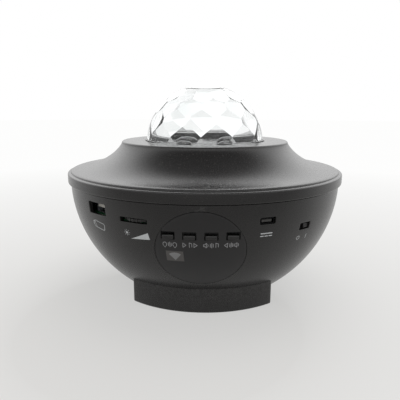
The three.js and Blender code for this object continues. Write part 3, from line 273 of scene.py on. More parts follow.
# %% Node groups
def new_tree(name, kind, inputs, outputs, output_kind):
    """A tree with named inputs and outputs: the tree, both its ends, and its inputs' identifiers."""
    tree = bpy.data.node_groups.new(name, kind)
    identifiers = {}
    for label, input_kind, start in inputs:
        socket = tree.interface.new_socket(name=label, in_out="INPUT", socket_type="NodeSocket" + input_kind)
        if start is not None:
            socket.default_value = start
        identifiers[label] = socket.identifier
    for label in outputs:
        tree.interface.new_socket(name=label, in_out="OUTPUT", socket_type="NodeSocket" + output_kind)
    given, out = tree.nodes.new("NodeGroupInput").outputs, tree.nodes.new("NodeGroupOutput").inputs
    return tree, given, out, identifiers


def effect(name, number, start, *outputs):
    """A shader group that is given a place and one number."""
    inputs = [("Place", "Vector", None), (number, "Float", start)]
    return new_tree(name, "ShaderNodeTree", inputs, outputs, "Float")[:3]


def grain_effect():
    """Fine spark-eroded grain of a mould: a height for bumps, and a speckle for roughness."""
    tree, given, out = effect("moulded grain", "Scale", 3000.0, "Height", "Speckle")
    pits = noise(tree, given["Place"], given["Scale"])
    cells = add(tree, "TexVoronoi", {"Vector": given["Place"], "Scale": product(tree, given["Scale"], 2.3)})
    rounded_cells = product(tree, cells.outputs["Distance"], 0.45)
    tree.links.new(calculate(tree, "ADD", pits, rounded_cells), out["Height"])
    tree.links.new(between(tree, pits, 0.3, 0.7), out["Speckle"])
    return tree


def mottle_effect():
    """Slow, soft differences in tone, from two sizes of noise."""
    tree, given, out = effect("uneven tone", "Scale", 40.0, "Tone")
    slow = product(tree, noise(tree, given["Place"], given["Scale"]), 0.7)
    quick = product(tree, noise(tree, given["Place"], product(tree, given["Scale"], 5.0), 1.0), 0.3)
    tree.links.new(between(tree, calculate(tree, "ADD", slow, quick), 0.35, 0.65), out["Tone"])
    return tree


def wear_effect():
    """A mask of the outward edges that hands and cloths polish, broken up by noise."""
    tree, given, out = effect("edge wear", "Amount", 0.5, "Mask")
    edge = between(tree, add(tree, "NewGeometry").outputs["Pointiness"], 0.53, 0.62)
    broken = between(tree, noise(tree, given["Place"], 700.0), 0.35, 0.6)
    tree.links.new(product(tree, product(tree, edge, broken), given["Amount"]), out["Mask"])
    return tree


def dust_effect():
    """Specks of dust, mostly on faces that look up."""
    tree, given, out = effect("dust", "Amount", 0.3, "Mask")
    specks = between(tree, noise(tree, given["Place"], 1500.0, 1.0), 0.66, 0.74)
    patches = between(tree, noise(tree, given["Place"], 25.0), 0.4, 0.65)
    up = add(tree, "SeparateXYZ", {0: add(tree, "NewGeometry").outputs["Normal"]}).outputs["Z"]
    mask = product(tree, product(tree, specks, patches), between(tree, up, -0.2, 0.8, 0.15, 1.0))
    tree.links.new(product(tree, mask, given["Amount"]), out["Mask"])
    return tree


grain, mottle, wear, dust = grain_effect(), mottle_effect(), wear_effect(), dust_effect()
print("node groups:", ", ".join(g.name for g in (grain, mottle, wear, dust)))

# %% [markdown]
# ## One recipe for moulded and metal finishes
# Most finishes differ only in their colours, gloss, grain and how metallic they are. The recipe lays
# the shared effects over the base colour in the order in which they come about: the uneven tone of
# the material, then wear on its edges, then dust. Constants go straight into the shader's sockets.

# %% The recipe
WORN_EDGE, DUST = grey(0.12), srgb("9a958d")


def use(tree, group, **inputs):
    """Places a shared effect in a tree, with its own values."""
    return add(tree, "Group", inputs, node_tree=group).outputs


def finish(name, colour, second, roughness, spread, scale=3000.0, depth=0.02, worn=0.3, dusty=0.2,
           metallic=0.0, stretch=(1, 1, 1), streaks=0.0, sheen=0.0):
    """A finish in two colours. Depth is the grain's, in mm; stretch draws the grain out in streaks."""
    made, tree, place = new_material(name)
    drawn = add(tree, "Mapping", {"Vector": place, "Scale": stretch}).outputs[0]
    fine = use(tree, grain, Place=drawn, Scale=scale)
    tone = mix(tree, use(tree, mottle, Place=place, Scale=scale / 60)["Tone"], srgb(colour), srgb(second))
    if streaks:
        tone = mix(tree, between(tree, fine["Speckle"], 0, 1, 0, streaks), tone, srgb(second))
    tone = mix(tree, use(tree, wear, Place=place, Amount=worn)["Mask"], tone, WORN_EDGE)
    specks = use(tree, dust, Place=place, Amount=dusty)["Mask"]
    tone = mix(tree, specks, tone, DUST)
    gloss = between(tree, fine["Speckle"], 0, 1, roughness - spread, roughness + spread)
    values = {"Base Color": tone, "Roughness": calculate(tree, "ADD", gloss, specks),
              "Normal": bumps(tree, fine["Height"], 1.0, depth)}
    shader = add(tree, "BsdfPrincipled", values)
    shader.inputs["Metallic"].default_value = metallic
    shader.inputs["Sheen Weight"].default_value = sheen
    return close(made, shader)


# %% Plastics and rubber
black_plastic = finish("black moulded plastic", "1c1b1b", "201f1f", 0.27, 0.04, depth=0.006)
inner_plastic = finish("black inner plastic", "1a1a1a", "222222", 0.50, 0.06, dusty=0.3)
grey_plastic = finish("grey moulded plastic", "3e3d3c", "373635", 0.40, 0.06, depth=0.006, worn=0.1,
                      dusty=0.1)
deck_plastic = finish("satin grey plastic", "3c3b3b", "464444", 0.20, 0.08, depth=0.004, dusty=0.8)
white_plastic = finish("natural white plastic", "e6e5e0", "dad8d0", 0.42, 0.06, depth=0.01, worn=0.0)
film = finish("printed film", "171617", "1a191a", 0.36, 0.04, scale=5000, depth=0.003, worn=0.1, dusty=0.1)
rubber = finish("matte black rubber", "151515", "1f1e1d", 0.86, 0.05, scale=1800, depth=0.05, dusty=0.6)
ferrite = finish("ceramic magnet", "2a2a2c", "1f1f22", 0.62, 0.10, scale=1400, depth=0.05)
print("plastics, rubber and ceramic are ready")

# %% [markdown]
# ## Metals, inks and lamp resins
# Drawn and turned metal is brushed, so its grain is stretched into streaks. The prints and the lamps'
# resins come in sets that share everything but their colours, so each set is made in one go.

# %% Metals, inks and resins
steel = finish("bright plated steel", "b4b6b8", "9d9fa3", 0.26, 0.08, depth=0.004, metallic=1.0,
               stretch=(1, 1, 0.15), streaks=0.5)
dark_steel = finish("blackened steel", "3c3c3e", "2c2c2f", 0.38, 0.10, depth=0.008, metallic=1.0)
brass = finish("turned brass", "b58e45", "a47d37", 0.27, 0.08, depth=0.004, metallic=1.0,
               stretch=(0.2, 0.2, 3), streaks=0.6)
gold = finish("gilded contacts", "d3ab58", "c39a48", 0.22, 0.06, depth=0.002, metallic=1.0)

inks = [("light grey print", "c4c8cb", "b9bdc0", 0.55), ("fine grey print", "9c9da0", "929396", 0.55),
        ("dark grey print", "858687", "7b7c7d", 0.55), ("smoked print", "504e4d", "494746", 0.45)]
grey_ink, label_ink, dim_ink, window_ink = [finish(*ink, 0.05, depth=0.004, worn=0, dusty=0) for ink in inks]

resins = [("red lamp resin", "c62f2a", "b02320"), ("green lamp resin", "2f9e44", "268a39"),
          ("blue lamp resin", "2b5fc4", "2350ae"), ("warm lamp resin", "efe9d2", "e3dbbd")]
lamp_red, lamp_green, lamp_blue, lamp_white = [finish(*resin, 0.18, 0.04, depth=0.003, worn=0, dusty=0)
                                               for resin in resins]
print("finishes so far:", len(bpy.data.materials))

# %% [markdown]
# ## Clear plastic, circuit board and cone paper
# The clear dome and the boards don't fit the recipe. The dome is a refracting shader whose roughness
# changes with faint smears. It bends light less than real clear plastic does, so that its facets stay
# as faint as in the picture. A board has straight copper tracks under its coloured mask, from a brick
# pattern. The speaker's cone is felted paper: long fibres, with a soft, rough bump.

# %% Clear plastic
def clear_finish(name, colour, smears, bending):
    made, tree, place = new_material(name)
    tone = use(tree, mottle, Place=place, Scale=90.0)["Tone"]
    fine = use(tree, grain, Place=place, Scale=600.0)
    tint = mix(tree, tone, srgb(colour), (0.985, 0.99, 0.99, 1))
    values = {"Base Color": tint, "Roughness": between(tree, tone, 0, 1, 0.0, smears),
              "Normal": bumps(tree, fine["Height"], 0.3, 0.002)}
    shader = add(tree, "BsdfPrincipled", values)
    shader.inputs["Transmission Weight"].default_value = 1.0
    shader.inputs["IOR"].default_value = bending
    return close(made, shader)


clear_plastic = clear_finish("polished clear plastic", "f8fafa", smears=0.03, bending=1.30)
print("clear plastic is ready")

# %% Circuit boards and cone paper
def board_finish(name, mask, track):
    made, tree, place = new_material(name)
    colours = {"Color1": srgb(mask), "Color2": srgb(track), "Mortar": srgb(mask)}
    bricks = add(tree, "TexBrick", {"Vector": place, **colours, "Scale": 160.0, "Mortar Size": 0.03}).outputs
    tone = mix(tree, use(tree, mottle, Place=place, Scale=60.0)["Tone"], bricks["Color"], srgb(mask))
    fine = use(tree, grain, Place=place, Scale=2500.0)
    height = calculate(tree, "ADD", bricks["Fac"], product(tree, fine["Height"], 0.2))
    values = {"Base Color": tone, "Roughness": between(tree, fine["Speckle"], 0, 1, 0.35, 0.5),
              "Normal": bumps(tree, height, 0.5, 0.02)}
    return close(made, add(tree, "BsdfPrincipled", values))


green_board = board_finish("green circuit board", "1d5a36", "2f7a4a")
white_board = board_finish("white circuit board", "e9ebe8", "d3d6cf")
cone_paper = finish("felted cone paper", "232324", "343435", 0.88, 0.06, scale=900, depth=0.12, worn=0,
                    dusty=0.5, stretch=(1, 1, 3), streaks=0.5, sheen=0.15)
print("two boards and cone paper are ready")

# %% [markdown]
# ## Sections and solids
# Nearly every piece of this lamp is turned, drawn or cut, as on a lathe. So the shapes are built
# from a few sizes in millimetres: a section swept round the axis, a row of outlines joined up as a
# skin, and exact Boolean cuts for windows. Each result is a mesh with its place in its points.

# %% Outlines
def polar(radius, azimuth, height=0.0):
    """A point by its azimuth from the buttons' side towards +X, in degrees."""
    angle = math.radians(azimuth)
    return Vector((radius * math.sin(angle), -radius * math.cos(angle), height))


def arc(centre, radii, start, stop, steps):
    """Points (r, z) on part of an ellipse, from one angle to another."""
    angles = [math.radians(start + (stop - start) * i / steps) for i in range(steps + 1)]
    return [(centre[0] + radii[0] * math.cos(a), centre[1] + radii[1] * math.sin(a)) for a in angles]


def rounded(width, tall, corner, per_side=6, per_corner=4):
    """A rectangle with round corners about the origin, as points (right, up)."""
    corner = max(corner, 0.01)
    a, b = width / 2 - corner, tall / 2 - corner
    centres = [(a, b), (-a, b), (-a, -b), (a, -b)]
    outline = []
    for i, centre in enumerate(centres):
        outline += arc(centre, (corner, corner), 90 * i, 90 * i + 90, per_corner)
        next_x, next_y = centres[(i + 1) % 4]
        x, y = outline[-1]
        far_x, far_y = (x, next_y) if i % 2 else (next_x, y)
        steps = [k / per_side for k in range(1, per_side)]
        outline += [(x + (far_x - x) * s, y + (far_y - y) * s) for s in steps]
    return outline


def at_height(outline, height):
    return [(a, b, height) for a, b in outline]


print("points round a window:", len(rounded(6.7, 4.2, 0.4)))

# %% Solids
def solid(name, points, faces, weld=True):
    """A mesh object in metres, from points in mm, with its faces turned outwards."""
    mesh = bpy.data.meshes.new(name)
    mesh.from_pydata([Vector(p) * MM for p in points], [], faces)
    shell = bmesh.new()
    shell.from_mesh(mesh)
    if weld:
        bmesh.ops.remove_doubles(shell, verts=shell.verts, dist=2e-7)
    bmesh.ops.recalc_face_normals(shell, faces=shell.faces)
    if shell.calc_volume(signed=True) < 0:
        bmesh.ops.reverse_faces(shell, faces=shell.faces)
    shell.to_mesh(mesh)
    shell.free()
    return in_scene(name, mesh)


def lathe(name, section, sides):
    """Sweeps a closed section (r, z) round the axis."""
    points, rings, faces = [], [], []
    for r, z in section:
        count = 1 if r < 1e-6 else sides
        rings.append([len(points) + i for i in range(count)])
        points += [polar(r, 360 * i / sides, z) for i in range(count)]
    for low, high in zip(rings, rings[1:] + rings[:1]):
        for i in range(sides if len(low) + len(high) > 2 else 0):
            j = i + 1
            corners = [low[i % len(low)], low[j % len(low)], high[j % len(high)], high[i % len(high)]]
            faces.append(list(dict.fromkeys(corners)))
    return solid(name, points, faces)


def loft(name, loops):
    """Joins outlines with the same number of points into a skin, and closes both ends."""
    size = len(loops[0])
    points = [p for loop in loops for p in loop]
    faces = [list(range(size)), [len(points) - 1 - i for i in range(size)]]
    for k in range(len(loops) - 1):
        for i in range(size):
            j = (i + 1) % size
            faces.append([k * size + i, k * size + j, (k + 1) * size + j, (k + 1) * size + i])
    return solid(name, points, faces)


def rod(radius, low, high, x=0.0, y=0.0, top=None, sides=32):
    """A round post or hole between two heights, tapered if its top radius is given."""
    rounds = []
    for r, z in ((radius, low), (radius if top is None else top, high)):
        rounds.append([polar(r, 360 * i / sides, z) + Vector((x, y, 0)) for i in range(sides)])
    return loft("rod", rounds)


def rods(radius, low, high, reach, azimuths, **more):
    """Posts or holes that are all alike, at one distance from the axis."""
    return [rod(radius, low, high, *polar(reach, azimuth).xy, **more) for azimuth in azimuths]


# %% [markdown]
# ## Joining, cutting and settling
# A Boolean with several cutters takes them as one mesh, which is quicker than one cut after another
# as long as the cutters stay clear of each other. A piece that is done gets its look, and sharp edges
# stay sharp under smooth shading. Then it is put on the body that it rides on, and the CAD pieces that
# it stands for are hidden.

# %% Helpers for pieces
def merged(name, objects):
    """One object from several, which are used up."""
    shell = bmesh.new()
    for item in objects:
        shell.from_mesh(item.data)
        bpy.data.objects.remove(item)
    mesh = bpy.data.meshes.new(name)
    shell.to_mesh(mesh)
    shell.free()
    return in_scene(name, mesh)


def plain_mesh(piece):
    """The mesh that a piece's modifiers make; the modifiers are removed."""
    mesh = bpy.data.meshes.new_from_object(piece.evaluated_get(bpy.context.evaluated_depsgraph_get()))
    piece.modifiers.clear()
    return mesh


def carve(piece, *tools, action="DIFFERENCE"):
    """Cuts the tools out of a piece, or joins them on, by one exact Boolean."""
    tool = merged("tool", tools)
    change = piece.modifiers.new("carve", "BOOLEAN")
    change.solver, change.operation, change.object = "EXACT", action, tool
    piece.data = plain_mesh(piece)
    bpy.data.objects.remove(tool)
    return piece


def settle(piece, body, look, slot, *nodes, sharp=32):
    """Gives a finished piece its look and its body, and hides the CAD nodes that it stands for."""
    piece.data.materials.clear()
    piece.data.materials.append(look)
    piece.data.shade_smooth()
    piece.data.set_sharp_from_angle(angle=math.radians(sharp))
    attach(piece, body)
    if nodes:
        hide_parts(*nodes)
    lo, hi = (Vector(f(v.co[k] for v in piece.data.vertices) for k in range(3)) for f in (min, max))
    size = " x ".join(f"{(b - a) / MM:.1f}" for a, b in zip(lo, hi))
    print(f"{piece.name}: {size} mm, {len(piece.data.polygons)} faces, rides on {body}")
    return piece


# %% [markdown]
# ## A tree that sets things out in a ring
# Screws, grille slots, lenses and the ridges of the brightness wheel all stand in rings round an
# axis. One Geometry Nodes tree makes each ring: it takes the piece to repeat, a count, a radius and
# the first one's azimuth, and ends in Realize Instances and Set Material.

# %% Ring of pieces
def ring_tree():
    inputs = [("Piece", "Object", None), ("Count", "Int", 4), ("Radius", "Float", 0.0),
              ("First azimuth", "Float", 0.0), ("Look", "Material", None)]
    tree, given, out, identifiers = new_tree("ring of pieces", "GeometryNodeTree", inputs,
                                             ["Ring"], "Geometry")
    points = add(tree, "GeometryNodePoints", {"Count": given["Count"]}).outputs[0]
    index = add(tree, "GeometryNodeInputIndex").outputs[0]
    turn = calculate(tree, "DIVIDE", product(tree, index, 2 * math.pi), given["Count"])
    turn = calculate(tree, "ADD", turn, given["First azimuth"])
    spin = add(tree, "CombineXYZ", {"Z": turn}).outputs[0]
    arm = add(tree, "CombineXYZ", {"Y": product(tree, given["Radius"], -1.0)}).outputs[0]
    spot = add(tree, "VectorRotate", {"Vector": arm, "Angle": turn}, rotation_type="Z_AXIS").outputs[0]
    placed = add(tree, "GeometryNodeSetPosition", {"Geometry": points, "Position": spot}).outputs[0]
    shape = add(tree, "GeometryNodeObjectInfo", {"Object": given["Piece"]},
                transform_space="ORIGINAL").outputs["Geometry"]
    wires = {"Points": placed, "Instance": shape, "Rotation": spin}
    copies = add(tree, "GeometryNodeInstanceOnPoints", wires).outputs[0]
    real = add(tree, "GeometryNodeRealizeInstances", {"Geometry": copies}).outputs[0]
    dressed = add(tree, "GeometryNodeSetMaterial", {"Geometry": real, "Material": given["Look"]})
    tree.links.new(dressed.outputs[0], out["Ring"])
    return tree, identifiers


ring_nodes, ring_inputs = ring_tree()


def ring_of(name, template, count, radius, look, first=0.0):
    """Repeats a template round the axis and returns one plain mesh; the template is used up."""
    holder = in_scene(name, bpy.data.meshes.new(name))
    change = holder.modifiers.new("ring", "NODES")
    change.node_group = ring_nodes
    values = {"Piece": template, "Count": count, "Radius": radius * MM,
              "First azimuth": math.radians(first), "Look": look}
    for label, value in values.items():
        change[ring_inputs[label]] = value
    holder.data = plain_mesh(holder)
    bpy.data.objects.remove(template)
    return holder


print("ring inputs:", ", ".join(ring_inputs))

# %% [markdown]
# ## The bowl's form
# The bowl is part of an ellipsoid: 80.9 mm in radius where it meets the cover, and round down to the
# floor. All that lies on it, such as the label, the windows and the prints, needs the point where
# a line from inside comes out. One function works that out, also for a skin deeper in the wall.

# %% Bowl form
PARTING, CENTRE = 63.4, 64.5
BOWL_RADIUS, BOWL_DEPTH, BOWL_WALL = 80.9, 76.698, 2.0
FLOOR, FLOOR_TOP = 6.3, 8.3


def bowl_point(start, out, inset=0.0):
    """Where a line from inside the bowl meets its skin, set in by a depth (mm)."""
    wide, deep = BOWL_RADIUS - inset, BOWL_DEPTH - inset
    p = Vector((start[0] / wide, start[1] / wide, (start[2] - CENTRE) / deep))
    d = Vector((out[0] / wide, out[1] / wide, out[2] / deep))
    b, c = p.dot(d), p.dot(p) - 1
    far = (-b + math.sqrt(b * b - d.dot(d) * c)) / d.dot(d)
    return Vector(start) + Vector(out) * far


def bowl_radius(height, inset=0.0):
    return bowl_point((0, 0, height), (1, 0, 0), inset).x


def bowl_curve(inset, low, high, steps):
    """The bowl's section (r, z) between two heights."""
    deep = BOWL_DEPTH - inset
    angles = [math.degrees(math.asin((z - CENTRE) / deep)) for z in (low, high)]
    return arc((0, CENTRE), (BOWL_RADIUS - inset, deep), *angles, steps)


print("radius at the floor:", round(bowl_radius(FLOOR), 2), "mm")

# %% [markdown]
# ## Windows with soft mouths
# A mould leaves the edge of a window slightly round, and that edge catches a line of light. So
# each cutter flares out in a quarter circle where it leaves the skin. Its outline is laid on the
# skin point by point, so that the round mouth is the same width all the way round.

# %% Places on the bowl
def stand(azimuth, height, lean=0.0):
    """A place on the lamp's side: a start on the axis, and the ways right, up and out."""
    right, flat_out = polar(1, azimuth + 90), polar(1, azimuth)
    tilt = math.radians(lean)
    out = flat_out * math.cos(tilt) - Vector((0, 0, math.sin(tilt)))
    up = Vector((0, 0, math.cos(tilt))) + flat_out * math.sin(tilt)
    return Vector((0, 0, height)), right, up, out


BUTTON_XS = (-15.45, -5.15, 5.15, 15.45)
BUTTON_HEIGHT, LABEL_HEIGHT, SWITCH_HEIGHT = 47.8, 38.1, 48.3
RECEIVER_AZIMUTH, RECEIVER_HEIGHT = -9.42, 36.5
usb_place = stand(-41.22, 56.2)
inlet_place = stand(23.37, 54.3)
switch_place = stand(41.08, SWITCH_HEIGHT)
dimmer_place = stand(-23.90, 53.55)


def button_place(x):
    """The buttons don't fan out: each one points straight to the front."""
    return Vector((x, 0, BUTTON_HEIGHT)), Vector((1, 0, 0)), Vector((0, 0, 1)), Vector((0, -1, 0))


print("label radius on the bowl:", round(bowl_radius(LABEL_HEIGHT), 2), "mm from the axis")

# %% Window cutters
def mouth_cutter(place, width, tall, corner, mouth=0.25, depth=7.0):
    """A cutter for a window; its outline grows by the mouth's radius towards the skin."""
    start, right, up, out = place
    steps = [(mouth + 0.03, 0.4)] if mouth else [(0.0, 1.0)]
    for i in range(5 if mouth else 0):
        angle = math.radians(90 * i / 4)
        steps.append((mouth * (1 - math.sin(angle)), -mouth * (1 - math.cos(angle))))
    steps.append((0.0, -depth))
    loops = []
    for wider, shift in steps:
        outline = rounded(width + 2 * wider, tall + 2 * wider, corner + wider)
        skin = [bowl_point(start + right * a + up * b, out) for a, b in outline]
        loops.append([p + out * shift for p in skin])
    return loft("window", loops)


def button_windows(depth):
    return [mouth_cutter(button_place(x), 6.7, 4.2, 0.4, mouth=0, depth=depth) for x in BUTTON_XS]


def label_disc(name, radius, outer, inner, rings=14, sides=96):
    """A round patch of the bowl's skin between two depths, seen square on from the label's side."""
    centre_radius = bowl_radius(LABEL_HEIGHT)
    slope = math.atan2((CENTRE - LABEL_HEIGHT) / BOWL_DEPTH ** 2, centre_radius / BOWL_RADIUS ** 2)
    _, right, up, out = stand(0, 0, math.degrees(slope))
    base = Vector((0, -centre_radius, LABEL_HEIGHT)) - out * 20
    points, faces = [], []
    for inset in (outer, inner):
        for k in range(rings + 1):
            reach = radius * k / rings
            for i in range(sides if k else 1):
                a = 2 * math.pi * i / sides
                at = base + right * (reach * math.cos(a)) + up * (reach * math.sin(a))
                points.append(bowl_point(at, out, inset))
    half = len(points) // 2

    def spot(layer, ring, i):
        return layer * half + (0 if ring == 0 else 1 + (ring - 1) * sides + i % sides)

    for layer in (0, 1):
        for k in range(rings):
            for i in range(sides):
                corners = [spot(layer, k, i), spot(layer, k + 1, i)]
                corners += [spot(layer, k + 1, i + 1), spot(layer, k, i + 1)]
                faces.append(list(dict.fromkeys(corners)))
    for i in range(sides):
        faces.append([spot(0, rings, i), spot(1, rings, i), spot(1, rings, i + 1), spot(0, rings, i + 1)])
    return solid(name, points, faces)


# %% [markdown]
# ## The bowl
# The real bowl is one moulding with a round speaker opening in its floor and a thin lip inside the
# cover. It is turned from its section, joined to its posts and bosses, and the windows, the seat
# of the label and the receiver's hole are cut through its wall.

# %% Bowl
COVER_POSTS = (46.0, (60, 180, 300))
ARM_POSTS = (57.5, (0, 120, 240))
BASE_SCREWS = (38.0, (45, 135, 225, 315))
SCREW_HOLE = 1.45


def make_bowl():
    section = [(23.5, FLOOR + 0.4), (23.9, FLOOR), *bowl_curve(0, FLOOR, 62.8, 44), (80.6, 63.1),
               (79.7, 63.1), (79.7, 65.9), (79.5, 66.1), (78.4, 66.1),
               *bowl_curve(BOWL_WALL, FLOOR_TOP, 63.1, 24)[::-1], (23.5, FLOOR_TOP)]
    bowl = lathe("bowl_shell", section, 200)
    posts = rods(4.4, 7.3, 40.0, *COVER_POSTS) + rods(3.0, 7.3, 13.0, *BASE_SCREWS)
    carve(bowl, *posts, rod(3.5, 7.3, 50.5, 0, 33.0), action="UNION")
    carve(bowl, rod(1.5, 50.0, 53.6, 0, 33.0), action="UNION")
    carve(bowl, *rods(2.7, FLOOR - 1, 37.4, *COVER_POSTS))
    carve(bowl, *rods(SCREW_HOLE, 36.0, 41.0, *COVER_POSTS))
    carve(bowl, *rods(SCREW_HOLE, FLOOR - 1, 14.0, *BASE_SCREWS))
    carve(bowl, mouth_cutter(usb_place, 13.6, 6.2, 0.5), mouth_cutter(inlet_place, 8.4, 3.5, 0.5),
          mouth_cutter(switch_place, 7.6, 3.7, 0.4), mouth_cutter(dimmer_place, 15.2, 2.5, 0.4))
    carve(bowl, *button_windows(depth=7.0))
    carve(bowl, label_disc("seat", 22.3, -1.5, 0.6))
    start, right, up, out = stand(RECEIVER_AZIMUTH, RECEIVER_HEIGHT)
    circle = arc((0, 0), (2.5, 2.5), 0, 345, 23)
    eye = [[start + out * reach + right * a + up * b for a, b in circle] for reach in (65, 85)]
    return carve(bowl, loft("eye", eye))


bowl = make_bowl()

# %% [markdown]
# The board's two side bosses stand on the curved wall inside. They are cut off by the bowl's own
# inner form, so the boss meets the wall without a gap and never shows outside.

# %% Board bosses
def board_bosses():
    x, y = polar(69.4, 60).xy
    inside = [(0, FLOOR + 1), *bowl_curve(1, FLOOR + 1, PARTING, 24), (0, PARTING)]
    bosses = []
    for side in (-1, 1):
        boss = rod(3.5, 23.8, 50.5, side * x, y)
        bosses.append(carve(boss, lathe("inside", inside, 96), action="INTERSECT"))
    carve(bowl, *bosses, action="UNION")
    carve(bowl, *[rod(1.35, 45.1, 52.0, side * x, y) for side in (-1, 1)])


board_bosses()
settle(bowl, "base", black_plastic, "black_shell", "bowl")

# %% [markdown]
# ## The label
# A round film sits flush in its seat, with a fine dark gap round it. It is a patch of the bowl's
# own skin, 0.3 mm thick, so it follows the curve exactly, and the four button windows go through it.

# %% Label film
label_piece = label_disc("label_film", 22.0, 0.0, 0.3)
carve(label_piece, *button_windows(depth=2.0))
settle(label_piece, "base", film, "label_film", "label")

# %% [markdown]
# ## The cover
# The cover flares from a narrow neck round the dome out to a flat brim with a low band. Its upper
# side is one cubic curve between the neck and the brim. A small step near the rim, with a sloped
# ledge outside it, draws the dark and the light line that run round the real lamp there.

# %% Cover
RIM, BRIM_HEIGHT, NECK_HEIGHT, NECK_RADIUS = 82.5, 70.1, 86.3, 50.6


def brim_curve(steps):
    """Points (r, z) of the upper side, from the brim up to the neck."""
    (x0, z0), (x3, z3) = (RIM - 1.4, BRIM_HEIGHT), (NECK_RADIUS, NECK_HEIGHT - 1)
    shares_of_way = ((0.7, 0.055), (0.987, 0.887))
    handles = [(x0 + (x3 - x0) * across, z0 + (z3 - z0) * up) for across, up in shares_of_way]
    corners = [(x0, z0), *handles, (x3, z3)]
    points = []
    for i in range(steps + 1):
        t = i / steps
        shares = [(1 - t) ** 3, 3 * t * (1 - t) ** 2, 3 * t * t * (1 - t), t ** 3]
        points.append(tuple(sum(s * c[k] for s, c in zip(shares, corners)) for k in (0, 1)))
    return points


def set_in(points, depth):
    """The same line moved square to itself, down and in."""
    moved = []
    for i, (r, z) in enumerate(points):
        before, after = points[max(i - 1, 0)], points[min(i + 1, len(points) - 1)]
        along = Vector((after[0] - before[0], after[1] - before[1])).normalized()
        moved.append((r - along.y * depth, z + along.x * depth))
    return moved


curve = brim_curve(48)
print("upper side of the cover:", len(curve), "points, from", curve[0], "to", curve[-1])

# %% Cover shell
def make_cover():
    bottom_edge = arc((RIM - 0.7, PARTING + 0.7), (0.7, 0.7), -90, 0, 8)
    rim_edge = arc((RIM - 0.65, 68.25), (0.65, 0.65), 0, 75, 8)
    ledge = [(81.8, 68.93), (80.75, 69.12)]
    step = [(80.62, 69.2), (80.57, 69.5), (80.5, 69.7), (80.3, 69.88), (79.9, 70.02)]
    brim = [p for p in curve if p[0] < 79.3]
    neck_edge = arc((NECK_RADIUS - 1, NECK_HEIGHT - 1), (1, 1), 15, 90, 8)
    lip = [(36.8, NECK_HEIGHT), (36.5, NECK_HEIGHT - 0.3), (36.5, 82.5), (39.1, 82.5), (39.1, 84.3)]
    under = [p for p in set_in(curve, 2.0) if p[0] < 78.6 and p[1] < 83.8]
    section = [(80.0, PARTING), *bottom_edge, *rim_edge, *ledge, *step, *brim, *neck_edge, *lip,
               (under[-1][0] - 1, 84.3), *under[::-1], (80.0, under[0][1] - 0.5)]
    return lathe("top_cover_shell", section, 200)


cover = make_cover()

# %% [markdown]
# Six posts hang from the cover's underside: three long ones meet the bowl's posts and three short
# ones sit over the chassis arms. Each runs up to the brim's outer skin and is trimmed by it.

# %% Cover posts
def trimmed_posts():
    inside = [(0, 30), (81.0, 30), (81.0, 69.0), *[p for p in set_in(curve, 1.0) if p[0] < 79],
              (NECK_RADIUS - 2, 85.3), (0, 85.3)]
    posts = merged("posts", rods(3.6, 40.3, 86.0, *COVER_POSTS) + rods(3.6, 66.3, 86.0, *ARM_POSTS))
    return carve(posts, lathe("inside", inside, 96), action="INTERSECT")


carve(cover, trimmed_posts(), action="UNION")
carve(cover, *rods(SCREW_HOLE, 39.0, 49.7, *COVER_POSTS), *rods(SCREW_HOLE, 66.0, 72.0, *ARM_POSTS))
settle(cover, "base", black_plastic, "black_shell", "top_cover")

# %% [markdown]
# ## The bottom cover
# A flat plate closes the bowl from below, with two arched feet that grow out of it and fit the
# bowl's curve. The sound comes out through two rings of slots. The feet are drawn as arched outlines
# with round corners and cut to the bowl's form; the ring tree sets the slot cutters out.

# %% Arched outlines
def arched(azimuth, half_angle, inner, outer, corner, grow=0.0, steps=40):
    """An arched strip's outline with round corners, in plan."""
    outline = []
    inner, outer, corner = inner - grow, outer + grow, corner + grow
    for radius, sign in ((outer, 1), (inner, -1)):
        bend = radius - sign * corner
        edge = half_angle + math.degrees(grow / radius) - math.degrees(corner / bend)
        middle = [azimuth + sign * edge * (2 * i / steps - 1) for i in range(1, steps)]
        for end, first_turn in ((-edge, -90), (edge, 0)):
            azimuth_there = azimuth + sign * end
            centre, out = polar(bend, azimuth_there), polar(1, azimuth_there)
            right = polar(1, azimuth_there + 90)
            for k in range(7):
                a = math.radians(first_turn + 15 * k)
                outline.append(centre + (out * math.cos(a) + right * math.sin(a)) * sign * corner)
            if end < 0:
                outline += [polar(radius, m) for m in middle]
    return outline


def strip(name, levels, azimuth, half_angle, inner, outer, corner):
    """Stacks arched outlines: each level is a height and how much the outline grows there."""
    loops = []
    for height, grow in levels:
        outline = arched(azimuth, half_angle, inner, outer, corner, grow)
        loops.append([p + Vector((0, 0, height)) for p in outline])
    return loft(name, loops)


PAD = (7.0, 51.4, 57.4, 0.8)
PAD_AZIMUTHS = (-28, 28, 152, 208)
print("points round a pad:", len(arched(0, *PAD)))

# %% Bottom cover
def make_feet():
    """Two hollow feet with a soft lower edge, cut off by the bowl's skin."""
    levels = [(0.15, -0.8), (0.25, -0.45), (0.5, -0.15), (0.95, 0.0), (31.0, 0.0)]
    feet = [strip("foot", levels, azimuth, 39.4, 48.5, 60.7, 1.4) for azimuth in (0, 180)]
    hollow_levels = [(3.4, 0.0), (40.0, 0.0)]
    hollows = [strip("hollow", hollow_levels, azimuth, 36.8, 50.5, 58.3, 0.6) for azimuth in (0, 180)]
    pair = carve(merged("feet", feet), *hollows)
    bowl_form = [(0, 5.9), *bowl_curve(-0.05, 5.9, PARTING, 60), (0, PARTING)]
    return carve(pair, lathe("form", bowl_form, 200))


def slot_cutter(length):
    """A slot that is wider at its lower edge."""
    levels = ((4.0, 0.6), (4.5, 0.6), (4.8, 0.0), (6.5, 0.0))
    return loft("slot", [at_height(rounded(2.2 + w, length + w, 1.09 + w / 2), z) for z, w in levels])


